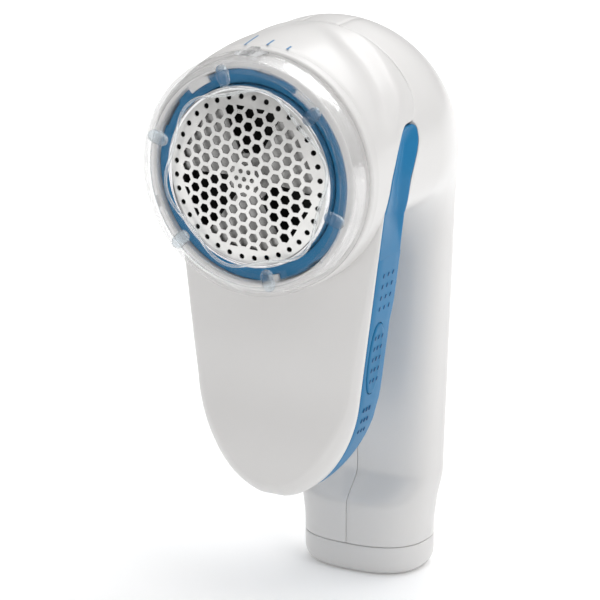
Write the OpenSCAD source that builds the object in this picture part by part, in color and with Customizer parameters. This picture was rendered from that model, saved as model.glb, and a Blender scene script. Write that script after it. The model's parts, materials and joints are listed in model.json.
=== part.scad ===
// Battery fabric shaver: a shaving head on a curved handle, with a long front cover
// below the head and a lint container behind it. It stands on its battery cap.
// Millimetres, +Z up, -Y is the front, origin at the middle of the flat base.

/* [Head] */
// Height of the head's axis above the base
head_z = 120; // [119:0.5:121]
// Where the cutting screen's rim plane lies, in front of the base's middle
screen_y = -63.8; // [-64.2:0.1:-63.4]
// Radius of the head barrel at its front
barrel_r = 31; // [30.8:0.1:31.2]
// Wall of the head barrel
barrel_wall = 2; // [1.6:0.1:2.2]
// Radius of the head's round back
dome_r = 32.3; // [31.8:0.1:32.6]

/* [Front cover] */
// Half width of the front cover where its round end begins
cover_half_w = 23; // [22:0.1:24]
// How much the half width grows for each millimetre upwards
cover_taper = 0.135; // [0.12:0.005:0.15]
// Lowest point of the front cover
cover_bottom = 33.3; // [32.5:0.1:34]
// Wall of the front cover
cover_wall = 1.8; // [1.4:0.1:2]
// Rounding of the cover's front edge
cover_edge_r = 3; // [2:0.5:4]

/* [Handle] */
// Half width of the base
base_half_w = 17.2; // [17:0.1:17.6]
// Half depth of the base
base_half_d = 13.1; // [12.9:0.1:13.4]
// Where the front of the grip lies
grip_front = -7; // [-7.5:0.1:-6.5]
// Wall of the handle halves
handle_wall = 1.6; // [1.4:0.1:1.8]
// Height of the battery cap
cap_h = 8.2; // [8:0.1:9]
// Half width of the strip down the back
spine_half_w = 5.1; // [4.8:0.1:5.4]
// Top of the finger gap
gap_top = 100.5; // [99.5:0.5:101.5]

/* [Shaving unit] */
// Hole pitch of the cutting screen
hole_pitch = 3.3; // [3.2:0.05:3.5]
// Width of a hexagonal hole across its flats
hole_w = 2.3; // [1.8:0.1:2.5]
// How much the hole field is turned in the head
field_turn = -3.25; // [-10:0.25:10]
// Radius of the screen
screen_r = 22; // [21.8:0.1:22.1]
// How far the screen's middle stands out in front of its rim plane
screen_apex = 1.73; // [1.6:0.01:1.75]
// Radius of the motor shaft
shaft_r = 1; // [0.9:0.05:1.1]
// Number of cutter blades
blade_count = 3; // [2:1:4]

/* [Height cap] */
// Outer radius of the clear cap
cap_r = 30.7; // [30.5:0.05:30.8]
// Mean radius of the wavy opening
opening_r = 21.9; // [21.8:0.1:22.2]
// Height of the waves
wave = 1.1; // [0.8:0.1:1.2]
// Angle of the first boss, from the right-hand side
boss_turn = 44; // [40:1:48]

/* [Power] */
// Radius of a battery cell
cell_r = 7.25; // [7:0.05:7.25]
// Length of a battery cell without its button
cell_h = 49.2; // [48:0.1:49.2]
// Radius of the motor can
motor_r = 12; // [11:0.1:12]

/* [Hidden] */

$fn = 96;
eps = 0.01;

// Planes along the head, from the front backwards
nose_front = screen_y + 1.4;
barrel_front = screen_y + 7.6;
floor_y = screen_y + 9.7;
cover_back = screen_y + 16;
container_front = cover_back + 0.3;
cradle_y = screen_y + 16.4;
motor_front = screen_y + 18.2;
motor_len = 28.6;
motor_back = motor_front + motor_len;
barrel_back = screen_y + 36.3;
barrel_grow = 0.7;
barrel_crown = 1.6;

// Radii in the head
nose_r = 29.2;
nose_bore = 27.2;
ring_r = 26.9;
ring_bore = 23.3;
rim_r = 23.1;

// The housing's lugs hold the screen's ring. Turned by unlock_turn, the ring comes free.
// Each lug's place round the nose and half its length, in degrees.
lugs = [[54, 7], [125, 7], [284, 3]];
lug_bore = 25.2;
unlock_turn = 26;

// The fan of handle sections turns about this point of the middle plane
fan_y = -21.5;
fan_z = 86;
gap_r = gap_top - fan_z;
back_y = 13;
dome_z0 = 112;
top_z = head_z + dome_r;
strip_h = 1.4;

// Colours
white = "#ecebe8";
blue = "#4b82b4";
steel = "#b9bcc0";
brass = "#c7a24c";
clear = "#d8e0e6";
inner = "#e3e4e2";
dark = "#2f3236";

function lerp(a, b, t) = a + (b - a) * t;
function clamp01(t) = max(0, min(1, t));
function ease(t) = let (u = clamp01(t)) u * u * (3 - 2 * u);
// Straight lines between [key, value] points
function table(v, p, i = 0) =
    v <= p[0][0] ? p[0][1]
    : i + 1 >= len(p) ? p[i][1]
    : v <= p[i + 1][0]
        ? lerp(p[i][1], p[i + 1][1], (v - p[i][0]) / (p[i + 1][0] - p[i][0]))
    : table(v, p, i + 1);
function spow(c, n) = sign(c) * pow(abs(c), 2 / n);
function oval(a, b, n = 2, count = 48) =
    [for (i = [0:count - 1])
        let (t = 360 * i / count) [a * spow(cos(t), n), b * spow(sin(t), n)]];
function unit(v) = v / norm(v);

// A solid through rings of equal length, closed by flat ends. Each ring turns
// counter-clockwise, seen from the side towards which the rings follow each other.
module skin(rings) {
    n = len(rings[0]);
    m = len(rings);
    side = [for (j = [0:m - 2]) for (i = [0:n - 1])
        let (a = j * n + i, b = j * n + (i + 1) % n)
            each [[a, b + n, b], [a, a + n, b + n]]];
    polyhedron([for (r = rings) each r],
        concat(side, [[for (i = [0:n - 1]) i]], [[for (i = [n - 1:-1:0]) (m - 1) * n + i]]));
}

// A shell through rings that each hold an outer path and then the same inner path backwards
module shell_skin(rings) {
    n = len(rings[0]);
    m = len(rings);
    h = n / 2;
    side = [for (j = [0:m - 2]) for (i = [0:n - 1])
        let (a = j * n + i, b = j * n + (i + 1) % n)
            each [[a, b + n, b], [a, a + n, b + n]]];
    first = [for (i = [0:h - 2]) each [[n - 1 - i, i, i + 1], [n - 1 - i, i + 1, n - 2 - i]]];
    last = [for (i = [0:h - 2]) let (o = (m - 1) * n)
        each [[o + i, o + n - 1 - i, o + i + 1], [o + i + 1, o + n - 1 - i, o + n - 2 - i]]];
    polyhedron([for (r = rings) each r], concat(side, first, last));
}

// A round tube along a list of points
module tube(path, r, sides = 8) {
    m = len(path);
    function aim(i) = unit(path[min(i + 1, m - 1)] - path[max(i - 1, 0)]);
    skin([for (i = [0:m - 1])
        let (d = aim(i), u = unit(cross(d, abs(d[2]) > 0.9 ? [1, 0, 0] : [0, 0, 1])),
            v = cross(d, u))
            [for (k = [0:sides - 1])
                path[i] + r * (cos(360 * k / sides) * u + sin(360 * k / sides) * v)]]);
}

// A coil spring along +Z
module coil(r, length, turns, wire_r, steps = 12) {
    count = turns * steps;
    tube([for (i = [0:count])
        [r * cos(360 * i / steps), r * sin(360 * i / steps), length * i / count]], wire_r, 6);
}

// Draws its children with their Z pointing forwards along the head's axis from plane y
module facing(y) {
    translate([0, y, head_z]) rotate([90, 0, 0]) children();
}

// A round wall about the head's axis from plane y0 back to plane y1
module ring(y0, y1, r_out, r_in = 0) {
    facing(y1) difference() {
        cylinder(r = r_out, h = y1 - y0);
        if (r_in > 0) translate([0, 0, -1]) cylinder(r = r_in, h = y1 - y0 + 2);
    }
}

// A slab seen from the side: an outline in Y and Z, drawn across from x0 to x1
module side_slab(outline, x0, x1) {
    translate([x0, 0, 0]) rotate([90, 0, 90]) linear_extrude(x1 - x0) polygon(outline);
}

// ---- Front cover -------------------------------------------------------------------

// The cover's half width at height z, with a round end below cover_round
cover_round = 60;
round_power = 2.08;
function round_end(z) =
    let (t = clamp01((cover_round - z) / (cover_round - cover_bottom)))
        pow(max(0, 1 - pow(t, round_power)), 1 / round_power);
function cover_w(z) = (cover_half_w + cover_taper * (z - cover_round)) * round_end(z);
// The cover's front face leans forwards near its lower end
function cover_y(z) = screen_y + 12.9 + 0.05 * max(0, z - 72) - 3 * ease((66 - z) / 26);

// Heights for the rings, closer together in the round end
function cover_heights(low, high) =
    concat([for (t = [0:0.1:0.9]) low + (cover_round - low) * (1 - sqrt(1 - t * t))],
        [for (z = [cover_round:10:high - 2]) z], [high]);

function cover_ring(z, inset, back) =
    let (w = max(cover_w(z) - inset, 0.8), f = cover_y(z) + inset,
        r = min(cover_edge_r, w * 0.8))
        concat([[-w, back, z]],
            [for (a = [180:18:270]) [-w + r + r * cos(a), f + r + r * sin(a), z]],
            [for (a = [270:18:360]) [w - r + r * cos(a), f + r + r * sin(a), z]],
            [[w, back, z]]);

module cover_solid(inset, low, high, back) {
    skin([for (z = cover_heights(low, high)) cover_ring(z, inset, back)]);
}

// The seam, seen from the side, where the front housing ends, from the top downwards
front_seam = [[-27.6, 160], [-27.6, 145], [-28.4, 138.2], [-30.6, 134], [-34, 131.5],
    [-37.4, 130.9], [-40.8, 128.2], [-43.9, 124.4], [-46.9, 118.2], [cover_back, 110],
    [cover_back, 20]];

module front_housing() {
    color(white) intersection() {
        union() {
            barrel();
            difference() {
                cover_solid(0, cover_bottom + 0.3, head_z - 4, cover_back + 2);
                cover_solid(cover_wall, cover_bottom + cover_wall + 0.6, head_z, -20);
                ring(-62, -20, barrel_r - barrel_wall);
            }
        }
        side_slab(concat([[-90, 20], [-90, 160]], front_seam), -40, 40);
    }
}

// The barrel's wall with its thinner nose, the lugs of the bayonet and the keyways
module barrel() {
    difference() {
        facing(0) rotate_extrude() polygon([[nose_bore, -nose_front], [nose_r, -nose_front],
            [nose_r, -barrel_front], [barrel_r, -barrel_front],
            for (t = [0.125:0.125:0.875]) [barrel_r + barrel_grow * t
                + barrel_crown * 4 * t * (1 - t), -lerp(barrel_front, barrel_back, t)],
            [barrel_r + barrel_grow, -barrel_back], [barrel_r - barrel_wall, -barrel_back],
            [barrel_r - barrel_wall, -floor_y], [nose_bore, -floor_y]]);
        for (a = click_keys) facing(nose_front + 3) rotate(a)
            translate([nose_bore - 1, -key_w / 2 - 0.2, 0]) cube([2.2, key_w + 0.4, 5]);
    }
    for (l = lugs) facing(nose_front + 1.2) rotate(l[0] - l[1])
        rotate_extrude(angle = 2 * l[1])
            polygon([[lug_bore, 0], [28, 0], [28, 0.6], [lug_bore, 0.6]]);
}

// ---- Handle ------------------------------------------------------------------------

// Squareness of the quarter oval over the top of the handle
back_n = 1.96;
// Back and top of the handle in the middle plane: a straight back, then a quarter oval
function back_line(s) = s < 0
    ? [back_y, lerp(dome_z0, fan_z, -s)]
    : [fan_y + (back_y - fan_y) * spow(cos(90 * s), back_n),
        dome_z0 + (top_z - dome_z0) * spow(sin(90 * s), back_n)];

// A section's frame: its origin, its outward direction, then inner, middle and outer reach,
// the half width and the squareness of its inner and outer halves
function grip_section(z) =
    let (flare = ease((27.8 - z) / 9), up = clamp01((z - 30) / (fan_z - 30)))
        [[0, 0, z], [0, 1, 0], lerp(grip_front, -base_half_d, flare),
            lerp(4, 0, flare), back_y + 0.1 * flare,
            lerp(lerp(18.8, 21, up), base_half_w, ease((25 - z) / 15)),
            lerp(3.6, 2.5, flare), 2.5];
function fan_section(s) =
    let (o = back_line(s), d = [0, o[0] - fan_y, o[1] - fan_z], reach = norm(d),
        turn = atan2(d[2], d[1]) / 90, k = ease(turn * 1.05 - 0.02))
        [[0, fan_y, fan_z], d / reach, gap_r, lerp(4 - fan_y, head_z - fan_z, k), reach,
            lerp(lerp(21, 22.6, ease(turn * 3)), barrel_r + barrel_grow, ease((turn - 0.4) / 0.6)),
            lerp(3.6, 2.6, turn),
            lerp(2.5, 2, ease(turn * 1.3))];

half_steps = 15;
// One half of a section: the outer path from the strip's groove round to the inner side,
// then the inner path back
function section_point(c, t, inset) =
    let (up = t >= 0, n = up ? c[7] : c[6], a = c[5] - inset,
        v = up ? c[4] - inset - c[3] : c[3] - c[2] - inset)
        [a * spow(cos(t), n), c[3] + v * spow(sin(t), n)];
function groove_angle(c) = acos(pow((spine_half_w + 0.2) / c[5], c[7] / 2));
function half_section(c, side) =
    let (g = groove_angle(c), edge = section_point(c, g, 0),
        outer = concat([[2.6, edge[1] - strip_h], [edge[0], edge[1] - strip_h]],
            [for (i = [0:half_steps]) section_point(c, lerp(g, -90, i / half_steps), 0)]),
        inner = concat([[2.6, edge[1] - strip_h - 1.3], [edge[0] + 0.6, edge[1] - strip_h - 1.3]],
            [for (i = [0:half_steps])
                let (p = section_point(c, lerp(g - 9, -90, i / half_steps), handle_wall))
                    [p[0], min(p[1], edge[1] - strip_h - 1.3)]]),
        flat = concat(outer, [for (i = [len(inner) - 1:-1:0]) inner[i]]))
        [for (p = flat) c[0] + [side * max(p[0], 0.05), 0, 0] + p[1] * c[1]];

// The front edge of the handle's upper part, seen from the side: height, then Y
handle_seam = [[90, -37.6], [117, -37.6], [121.4, -35], [124.6, -33], [127.4, -31.8],
    [131, -31.6], [133.8, -30], [138, -28.1], [145, -27.3], [160, -27.3]];

function handle_stations() = concat(
    [for (z = [cap_h + 0.2, 14, 18, 21, 24, 27, 31, 45, 60, 74]) grip_section(z)],
    [for (s = [-1:0.25:-0.25]) fan_section(s)], [for (s = [0:0.1:1]) fan_section(s)]);

module handle_half(side) {
    rings = [for (c = handle_stations()) half_section(c, side)];
    last = rings[len(rings) - 1];
    front = [for (p = last) [p[0], table(p[2], handle_seam), p[2]]];
    all_rings = concat(rings, [front]);
    shell_skin(side > 0 ? [for (i = [len(all_rings) - 1:-1:0]) all_rings[i]] : all_rings);
}

// Screws join the halves across the middle plane: Y, Z and the reach of the two bosses
screw_places = [[2, 70, 19.4], [-6, 124, 24.9]];
screw_r = 1;
screw_reach = 8;
screw_head_r = 2.4;
boss_r = 3.2;

module across(place, side, x) {
    translate([side * x, place[0], place[1]]) rotate([0, side * 90, 0]) children();
}
module half_with_bosses(side) {
    color(white) difference() {
        union() {
            handle_half(side);
            for (p = screw_places) across(p, side, 0.1) cylinder(r = boss_r, h = p[2] - 0.1);
        }
        for (p = screw_places) across(p, side, -1)
            cylinder(r = screw_r + 0.05, h = screw_reach + 1.5);
        if (side < 0) for (p = screw_places) across(p, side, screw_reach - 0.05)
            cylinder(r = screw_head_r + 0.25, h = 30);
    }
}
module handle_left() half_with_bosses(-1);
module handle_right() half_with_bosses(1);

// The strip that closes the two halves over the top and down the back
module back_strip() {
    stations = handle_stations();
    color(white) difference() {
        skin([for (c = concat(stations, [nose_station()])) strip_ring(c)]);
        translate([-2.4, 5, knob_z - 6.5]) cube([4.8, 12, 18]);
    }
}
function nose_station() =
    let (c = fan_section(1)) concat([c[0] + [0, -27.2 - fan_y, 0]], [for (i = [1:7]) c[i]]);
function strip_ring(c) =
    let (e = section_point(c, groove_angle(c), 0)[1],
        top = [for (x = [-1, -0.5, 0, 0.5, 1])
            [x * spine_half_w, lerp(c[4], e, x * x)]],
        flat = concat(top, [[spine_half_w, e - strip_h + 0.1], [-spine_half_w, e - strip_h + 0.1]]))
        [for (i = [len(flat) - 1:-1:0]) c[0] + [flat[i][0], 0, 0] + flat[i][1] * c[1]];

// ---- Side inlays -------------------------------------------------------------------

inlay_bottom = 98.6;
inlay_outline = [[container_front, inlay_bottom], [container_front, 110], [-46.6, 118],
    [-43.6, 124.1], [-40.5, 127.8], [-37.2, 130.5], [-34.6, 131], [-33, 129.8],
    [-32.6, 127.4], [-33.6, 124.7], [-35.5, 121.6], [-37.9, 117.5], [-38, 110],
    [-38, inlay_bottom]];

module side_inlay(side) {
    thick = 2.4;
    color(blue) intersection() {
        side_slab(inlay_outline, side > 0 ? 20 : -34, side > 0 ? 34 : -20);
        union() {
            intersection() {
                ring(-50, -28, barrel_r + 0.2, barrel_r + 0.2 - thick);
                translate([-40, -60, head_z - 2]) cube([80, 40, 40]);
            }
            translate([0, -28, 0]) rotate([90, 0, 0]) linear_extrude(22) polygon([
                [side * cover_w(90), 90], [side * cover_w(head_z), head_z],
                [side * (cover_w(head_z) - thick), head_z], [side * (cover_w(90) - thick), 90]]);
        }
    }
}
module side_inlay_left() side_inlay(-1);
module side_inlay_right() side_inlay(1);

// ---- Battery end -------------------------------------------------------------------

cell_x = 7.6;
cell_y = 2.6;
cell_z = 10.8;
cells_top = cell_z + cell_h + 1.3;

module battery_cap() {
    edge = 4.8;
    color(white) difference() {
        skin(concat([for (i = [0:5]) let (k = edge * (1 - sin(18 * i)))
                [for (p = oval(base_half_w - k * 0.9, base_half_d - k * 0.9, 2.5))
                    [p[0], p[1], edge * (1 - cos(18 * i))]]],
            [[for (p = oval(base_half_w, base_half_d, 2.5)) [p[0], p[1], cap_h]]]));
        translate([0, 0, 2.2]) linear_extrude(cap_h) polygon(
            oval(base_half_w - 2.2, base_half_d - 2.2, 2.5));
    }
}

// The bridging plate on the cap joins the two cells' lower ends
module cap_contact() {
    color(steel) {
        translate([-13, cell_y - 4, 2.2]) cube([26, 8, 0.4]);
        translate([cell_x, cell_y, 2.6]) cylinder(r = 2.5, h = 7.8);
    }
}

module cap_coil() {
    color(steel) translate([-cell_x, cell_y, 2.9]) coil(3.6, 7.5, 4, 0.3);
}

module battery_cells() {
    for (side = [-1, 1]) translate([side * cell_x, cell_y, cell_z]) {
        up = side < 0;
        color("#3a3d42") translate([0, 0, up ? 0 : 1.3]) cylinder(r = cell_r, h = cell_h);
        color(steel) translate([0, 0, up ? cell_h - eps : 0]) cylinder(r = 2.7, h = 1.3 + eps);
    }
}

module battery_tray() {
    color(inner) {
        difference() {
            translate([-13.4, cell_y - 6.8, cells_top + 1.6]) cube([26.8, 13.4, 1.6]);
            for (side = [-1, 1]) translate([side * cell_x, cell_y - 5.5, cells_top])
                cylinder(r = 1, h = 5);
        }
        translate([-0.25, cell_y - 6, 14]) cube([0.5, 11.4, cells_top - 12.4 + eps]);
    }
}

module top_contacts() {
    color(steel) {
        for (side = [-1, 1]) translate([side * cell_x - 5, cell_y - 4, cells_top + 1.2])
            cube([10, 8, 0.4]);
        translate([-cell_x, cell_y, cells_top + 0.1]) cylinder(r = 2, h = 1.1 + eps);
        for (side = [-1, 1]) translate([side * cell_x, cell_y - 5.5, cells_top + 1.2]) {
            translate([-0.6, 0, 0]) cube([1.2, 2, 0.4]);
            cylinder(r = 0.6, h = 4.4);
        }
    }
}

module top_coil() {
    color(steel) translate([cell_x, cell_y, cells_top + 0.27]) coil(3.2, 0.66, 1, 0.25);
}

// ---- Wiring and switch -------------------------------------------------------------

knob_z = 100;
switch_y = 6.2;
wire_r = 0.7;

pin_steps = [-3, 2.5, 8];
red_route = [[cell_x, -2.9, 66.3], [8.5, -2.6, 72], [8, -1, 80], [5, -0.6, 90], [0, 0.8, 97.3]];
black_route = [[-cell_x, -2.9, 66.3], [-9.5, -2, 74], [-11, 0, 86], [-12, 0, 98],
    [-11, -4, 108], [-7, -8, 114], [-5.5, -11.6, 119]];
lead_route = [[0, 0.8, 108.3], [1.5, -2, 112], [4, -7, 117], [5.5, -11.6, 119.8]];

module wire_red() {
    color("#c23a34") {
        tube(red_route, wire_r);
        tube(lead_route, wire_r);
    }
}

module wire_black() {
    color("#26282b") tube(black_route, wire_r);
}

module switch_body() {
    color(dark) difference() {
        union() {
            translate([-4.2, switch_y - 3.6, knob_z - 7]) cube([8.4, 4.4, 19]);
            for (dz = [-7, 10.5]) translate([-4.2, switch_y + 0.7, knob_z + dz])
                cube([8.4, 2.6, 1.5]);
        }
        translate([-1.9, switch_y - 1.6, knob_z - 4.5]) cube([3.8, 5, 14]);
    }
}

module switch_pins() {
    color(brass) for (dz = pin_steps)
        translate([-0.5, switch_y - 5.6, knob_z + dz]) cube([1, 2, 0.6]);
}

module switch_slider() {
    color("#1f2124") translate([-1.6, switch_y - 1.3, knob_z - 4.2]) cube([3.2, 3.6, 8.4]);
}

// The knob's pad lies on the strip and its stem goes through the strip's slot
module switch_knob() {
    pad_w = 8.4;
    pad_h = 13;
    color(blue) {
        difference() {
            hull() for (x = [-1, 1]) for (z = [-1, 1])
                translate([x * (pad_w / 2 - 2), back_y + 0.35, knob_z + z * (pad_h / 2 - 2)])
                    rotate([-90, 0, 0]) {
                        cylinder(r = 2, h = 1.2, $fn = 24);
                        cylinder(r = 1.4, h = 2.1, $fn = 24);
                    }
            for (i = [-2:2]) translate([-5, back_y + 1.95, knob_z + i * 2.1 - 0.4])
                cube([10, 2, 0.8]);
        }
        translate([-1.5, switch_y + 2.3, knob_z - 3]) cube([3, back_y - switch_y - 1.6, 6]);
    }
}

// Each screw crosses the middle plane, with its head towards the left half
module case_screws() {
    head_h = 2.2;
    color(steel) for (p = screw_places) across(p, 1, -screw_reach) difference() {
        union() {
            translate([0, 0, -head_h]) cylinder(r = screw_head_r, h = head_h);
            cylinder(r = screw_r, h = 2 * screw_reach);
        }
        translate([-0.3, -1.6, -head_h - 1]) cube([0.6, 3.2, 1.8]);
    }
}

// ---- Motor and chassis -------------------------------------------------------------

// A plate behind the cutting chamber holds the motor's front and closes the neck below it
module motor_cradle() {
    color(inner) {
        difference() {
            ring(cradle_y, motor_front - 0.1, 27.6);
            ring(cradle_y - 1, motor_front + 1, 4);
            translate([-40, -60, 60]) cube([80, 40, 40.2]);
            for (side = [-1, 1]) translate([side * 8, 0, 0]) ring(-60, -30, 1.3);
        }
        difference() {
            ring(motor_front - 0.1 - eps, motor_front + 10, motor_r + 1.6, motor_r + 0.1);
            for (side = [-1, 1]) translate([side * 12, -40, head_z - 3]) cube([8, 9, 6], center = true);
        }
        translate([-25.6, cradle_y, 98.8]) cube([51.2, 8.6, 1.4 + eps]);
        for (side = [-1, 1]) translate([side * 9 - 1, motor_front - 0.2, 100])
            cube([2, 6.9, 9.3]);
    }
}

module motor_can() {
    color(steel) {
        ring(motor_front, motor_back, motor_r, motor_r - 0.8);
        difference() {
            ring(motor_front, motor_front + 0.8, motor_r - 0.4);
            ring(-60, -30, 3);
            for (side = [-1, 1]) translate([side * 8, 0, 0]) ring(-60, -30, 1.05);
        }
        ring(motor_front - 1.2, motor_front + 2, 3, shaft_r + 0.05);
    }
}

module motor_magnets() {
    color("#4a4c50") for (a = [0, 180]) facing(motor_back - 6) rotate(a - 60)
        rotate_extrude(angle = 120)
            polygon([[9.3, 0], [motor_r - 0.9, 0], [motor_r - 0.9, 17], [9.3, 17]]);
}

module motor_end_cap() {
    color(inner) difference() {
        union() {
            ring(motor_back - 2, motor_back, motor_r - 0.85);
            ring(motor_back, motor_back + 1.6, motor_r);
            ring(motor_back + 1.6, motor_back + 3.2, 3.2);
        }
        ring(motor_back - 3, motor_back + 2.4, shaft_r + 0.05);
        for (side = [-1, 1]) translate([side * 5.5, motor_back, head_z])
            cube([2.2, 12, 1], center = true);
    }
}

module motor_terminals() {
    color(brass) for (side = [-1, 1])
        translate([side * 5.5, motor_back + 1.4, head_z]) cube([2, 6.4, 0.6], center = true);
}

module motor_screws() {
    color(steel) for (side = [-1, 1]) translate([side * 8, 0, 0]) {
        ring(cradle_y - 1.2, cradle_y, 2.1);
        ring(cradle_y - eps, motor_front + 1.6, 1);
    }
}

module armature() {
    slots = 3;
    color("#8a4a32") difference() {
        ring(motor_front + 6, motor_front + 20, 8.6, shaft_r);
        for (i = [0:slots - 1]) facing(motor_front + 21) rotate(360 / slots * i + 90)
            translate([3.4, -1.1, 0]) cube([8, 2.2, 18]);
    }
    color(brass) ring(motor_front + 20.4, motor_front + 24, 3.4, shaft_r);
}

module motor_shaft() {
    color(steel) ring(nose_front + 3.2, motor_back + 2, shaft_r);
}

module shaft_bush() {
    color(brass) ring(floor_y - 1, floor_y + 3, 2.9, shaft_r + 0.05);
}

// The wall behind the blades is open below, where the lint falls through
module chamber_floor() {
    color(dark) difference() {
        union() {
            ring(floor_y, floor_y + 1.4, barrel_r - barrel_wall - 0.1);
            ring(floor_y, floor_y + 3, 4.6);
        }
        ring(floor_y - 2, floor_y + 4, 2.95);
        translate([-18, -70, 85]) cube([36, 40, 13.5]);
    }
}

module lint_chute() {
    color(inner) intersection() {
        ring(floor_y + 0.1, cover_back - 0.2, 28.9, 27.7);
        translate([-15, -70, 85]) cube([30, 40, 14]);
    }
}

// ---- Cutter ------------------------------------------------------------------------

blade_front = screen_y + 0.7;
blade_span = 68;
// Where each blade's middle stands at rest, seen from the front
function blade_turn(i) = 27 + 360 / blade_count * i;

module blade_carrier() {
    color(inner) difference() {
        union() {
            ring(blade_front + 0.7, blade_front + 3, 5.5);
            ring(blade_front + 3 - eps, blade_front + 6, 3.6);
            for (i = [0:blade_count - 1]) facing(blade_front + 2.6) rotate(blade_turn(i))
                translate([4, -3, 0]) cube([13, 6, 1.9]);
        }
        ring(blade_front, blade_front + 8, shaft_r);
    }
}

// Broad sector blades run just behind the screen
module cutter_blades() {
    color(steel) difference() {
        union() {
            ring(blade_front, blade_front + 0.7, 6);
            for (i = [0:blade_count - 1]) facing(blade_front + 0.7)
                rotate(blade_turn(i) - blade_span / 2) rotate_extrude(angle = blade_span)
                    polygon([[4, 0], [19.4, 0], [19.4, 0.7], [4, 0.7]]);
        }
        ring(blade_front - 1, blade_front + 2, shaft_r);
    }
}

module thrust_spring() {
    color(steel) facing(floor_y - 1.3) coil(1.9, 1.2, 2, 0.28);
}

// ---- Screen ------------------------------------------------------------------------

screen_rise = screen_apex + 0.4;
screen_curve = (screen_r * screen_r + screen_rise * screen_rise) / (2 * screen_rise);
foil = 0.3;
disc_r = 3;
field_half = 18.05;
field_rows = 7;
centre_ring = 2.2;
rim_holes = 36;
rim_hole_ring = 20.46;
small_hole = 0.7;

// Centres of the hexagonal holes. The outermost of them are cut through by the edge of the
// six-sided field, and the innermost by the plain disc in the middle.
function hex_places() = [for (i = [-field_rows:field_rows]) for (j = [-field_rows:field_rows])
    let (p = hole_pitch * [i * cos(30), j + (abs(i) % 2) / 2])
        if (norm(p) > disc_r && norm(p) < field_half + hole_w / 4) p];

module screen_holes() {
    rotate(field_turn) {
        difference() {
            intersection() {
                for (p = hex_places()) translate(p) circle(d = hole_w / cos(30), $fn = 6);
                rotate(30) circle(r = field_half / cos(30), $fn = 6);
            }
            circle(r = disc_r, $fn = 48);
        }
        for (i = [0:5]) rotate(60 * i) translate([centre_ring, 0])
            circle(r = small_hole * 0.9, $fn = 16);
        circle(r = small_hole * 0.9, $fn = 16);
    }
    for (i = [0:rim_holes - 1]) rotate(360 * (i + 0.5) / rim_holes)
        translate([rim_hole_ring, 0]) circle(r = small_hole, $fn = 16);
}

module screen_foil() {
    color(steel) intersection() {
        translate([0, screen_y - screen_apex + screen_curve, head_z]) difference() {
            sphere(r = screen_curve, $fn = 240);
            sphere(r = screen_curve - foil, $fn = 240);
        }
        facing(screen_y + 2) linear_extrude(8) difference() {
            circle(r = screen_r);
            screen_holes();
        }
    }
}

module screen_rim() {
    color(steel) translate([0, screen_y, 0]) facing(0) rotate_extrude() polygon([
        [screen_r, -2.2], [screen_r, -0.4], [screen_r + 0.25, -0.25], [rim_r - 0.25, -0.25],
        [rim_r, -0.5], [rim_r, -5.6], [25.4, -5.6], [25.4, -6.6], [rim_r - 1, -6.6],
        [rim_r - 1, -2.2]]);
}

ring_front = 2.8;
ring_back = 5.4;
notch_r = 26.3;

module retaining_ring() {
    color(blue) difference() {
        facing(screen_y) rotate_extrude() polygon([[ring_bore, -ring_back],
            [ring_bore, -ring_front - 0.6], [ring_bore + 0.6, -ring_front],
            [ring_r, -ring_front], [ring_r, -ring_back]]);
        for (l = lugs) facing(screen_y + 8) rotate(l[0] + unlock_turn - l[1] - 1)
            rotate_extrude(angle = 2 * l[1] + 2)
                polygon([[notch_r, 0], [29, 0], [29, 12], [notch_r, 12]]);
    }
}

// ---- Height cap --------------------------------------------------------------------

click_keys = [80, 200, 320];
key_w = 3;

// The clear ring under the cap slides in the nose's keyways, so that it rises without turning
module click_ring() {
    color(clear, 0.45) {
        ring(nose_front - 1.75, nose_front - 1.15, 27.95, 26.2);
        for (a = click_keys) facing(nose_front + 1.4) rotate(a)
            translate([nose_bore, -key_w / 2, 0]) cube([0.7, key_w, 2.7]);
    }
}

function wavy(r, h) = [for (i = [0:143])
    let (t = i * 2.5) (r - h * cos(6 * (t - boss_turn))) * [cos(t), sin(t)]];

module height_cap() {
    plate = 0.8;
    front = screen_y - 1.4;
    back = barrel_front - 0.7;
    color(clear, 0.45) {
        difference() {
            facing(0) rotate_extrude() polygon([[18, -front], [27.8, -front],
                [29.2, -front - 0.6], [30.3, -front - 1.6], [cap_r, -front - 2.9], [cap_r, -back],
                [nose_r + 0.3, -back], [nose_r + 0.3, -front - 2.7], [29, -front - 1.8],
                [27.7, -front - plate], [18, -front - plate]]);
            facing(front + 5) linear_extrude(10) polygon(wavy(opening_r, wave));
        }
        difference() {
            for (i = [0:5]) facing(front + plate / 2) rotate(boss_turn + 60 * i) hull()
                for (r = [24.9, 27.2]) translate([r, 0, 0]) sphere(r = 1.7, $fn = 16);
            facing(front + 10) cylinder(r = 40, h = 10 - plate / 2);
        }
        facing(back) rotate(92.5) translate([cap_r - 0.6, -1.1, 0]) cube([1.4, 2.2, 5.4]);
    }
}

// ---- Lint container ----------------------------------------------------------------

container_top = 98.2;
container_wall = 1.4;
function container_back(z) = -34.3 + 0.9 * ease((z - 80) / 5) - 9 * pow(max(0, 65 - z) / 32, 2);
function container_ring(z, inset, front) =
    let (w = max(cover_w(z) - inset, 0.6), b = container_back(z) - inset,
        rx = min(8, w * 0.7), ry = min(3.4, (b - front) * 0.6))
        concat([[-w, front, z], [w, front, z]],
            [for (a = [0:15:90]) [w - rx + rx * cos(a), b - ry + ry * sin(a), z]],
            [for (a = [90:15:180]) [-w + rx + rx * cos(a), b - ry + ry * sin(a), z]]);
module container_solid(inset, low, high, front) {
    skin([for (z = cover_heights(low, high)) container_ring(z, inset, front)]);
}

pad_z = 71.5;
pad_y = -43;
pad_lean = atan(cover_taper);

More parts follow.
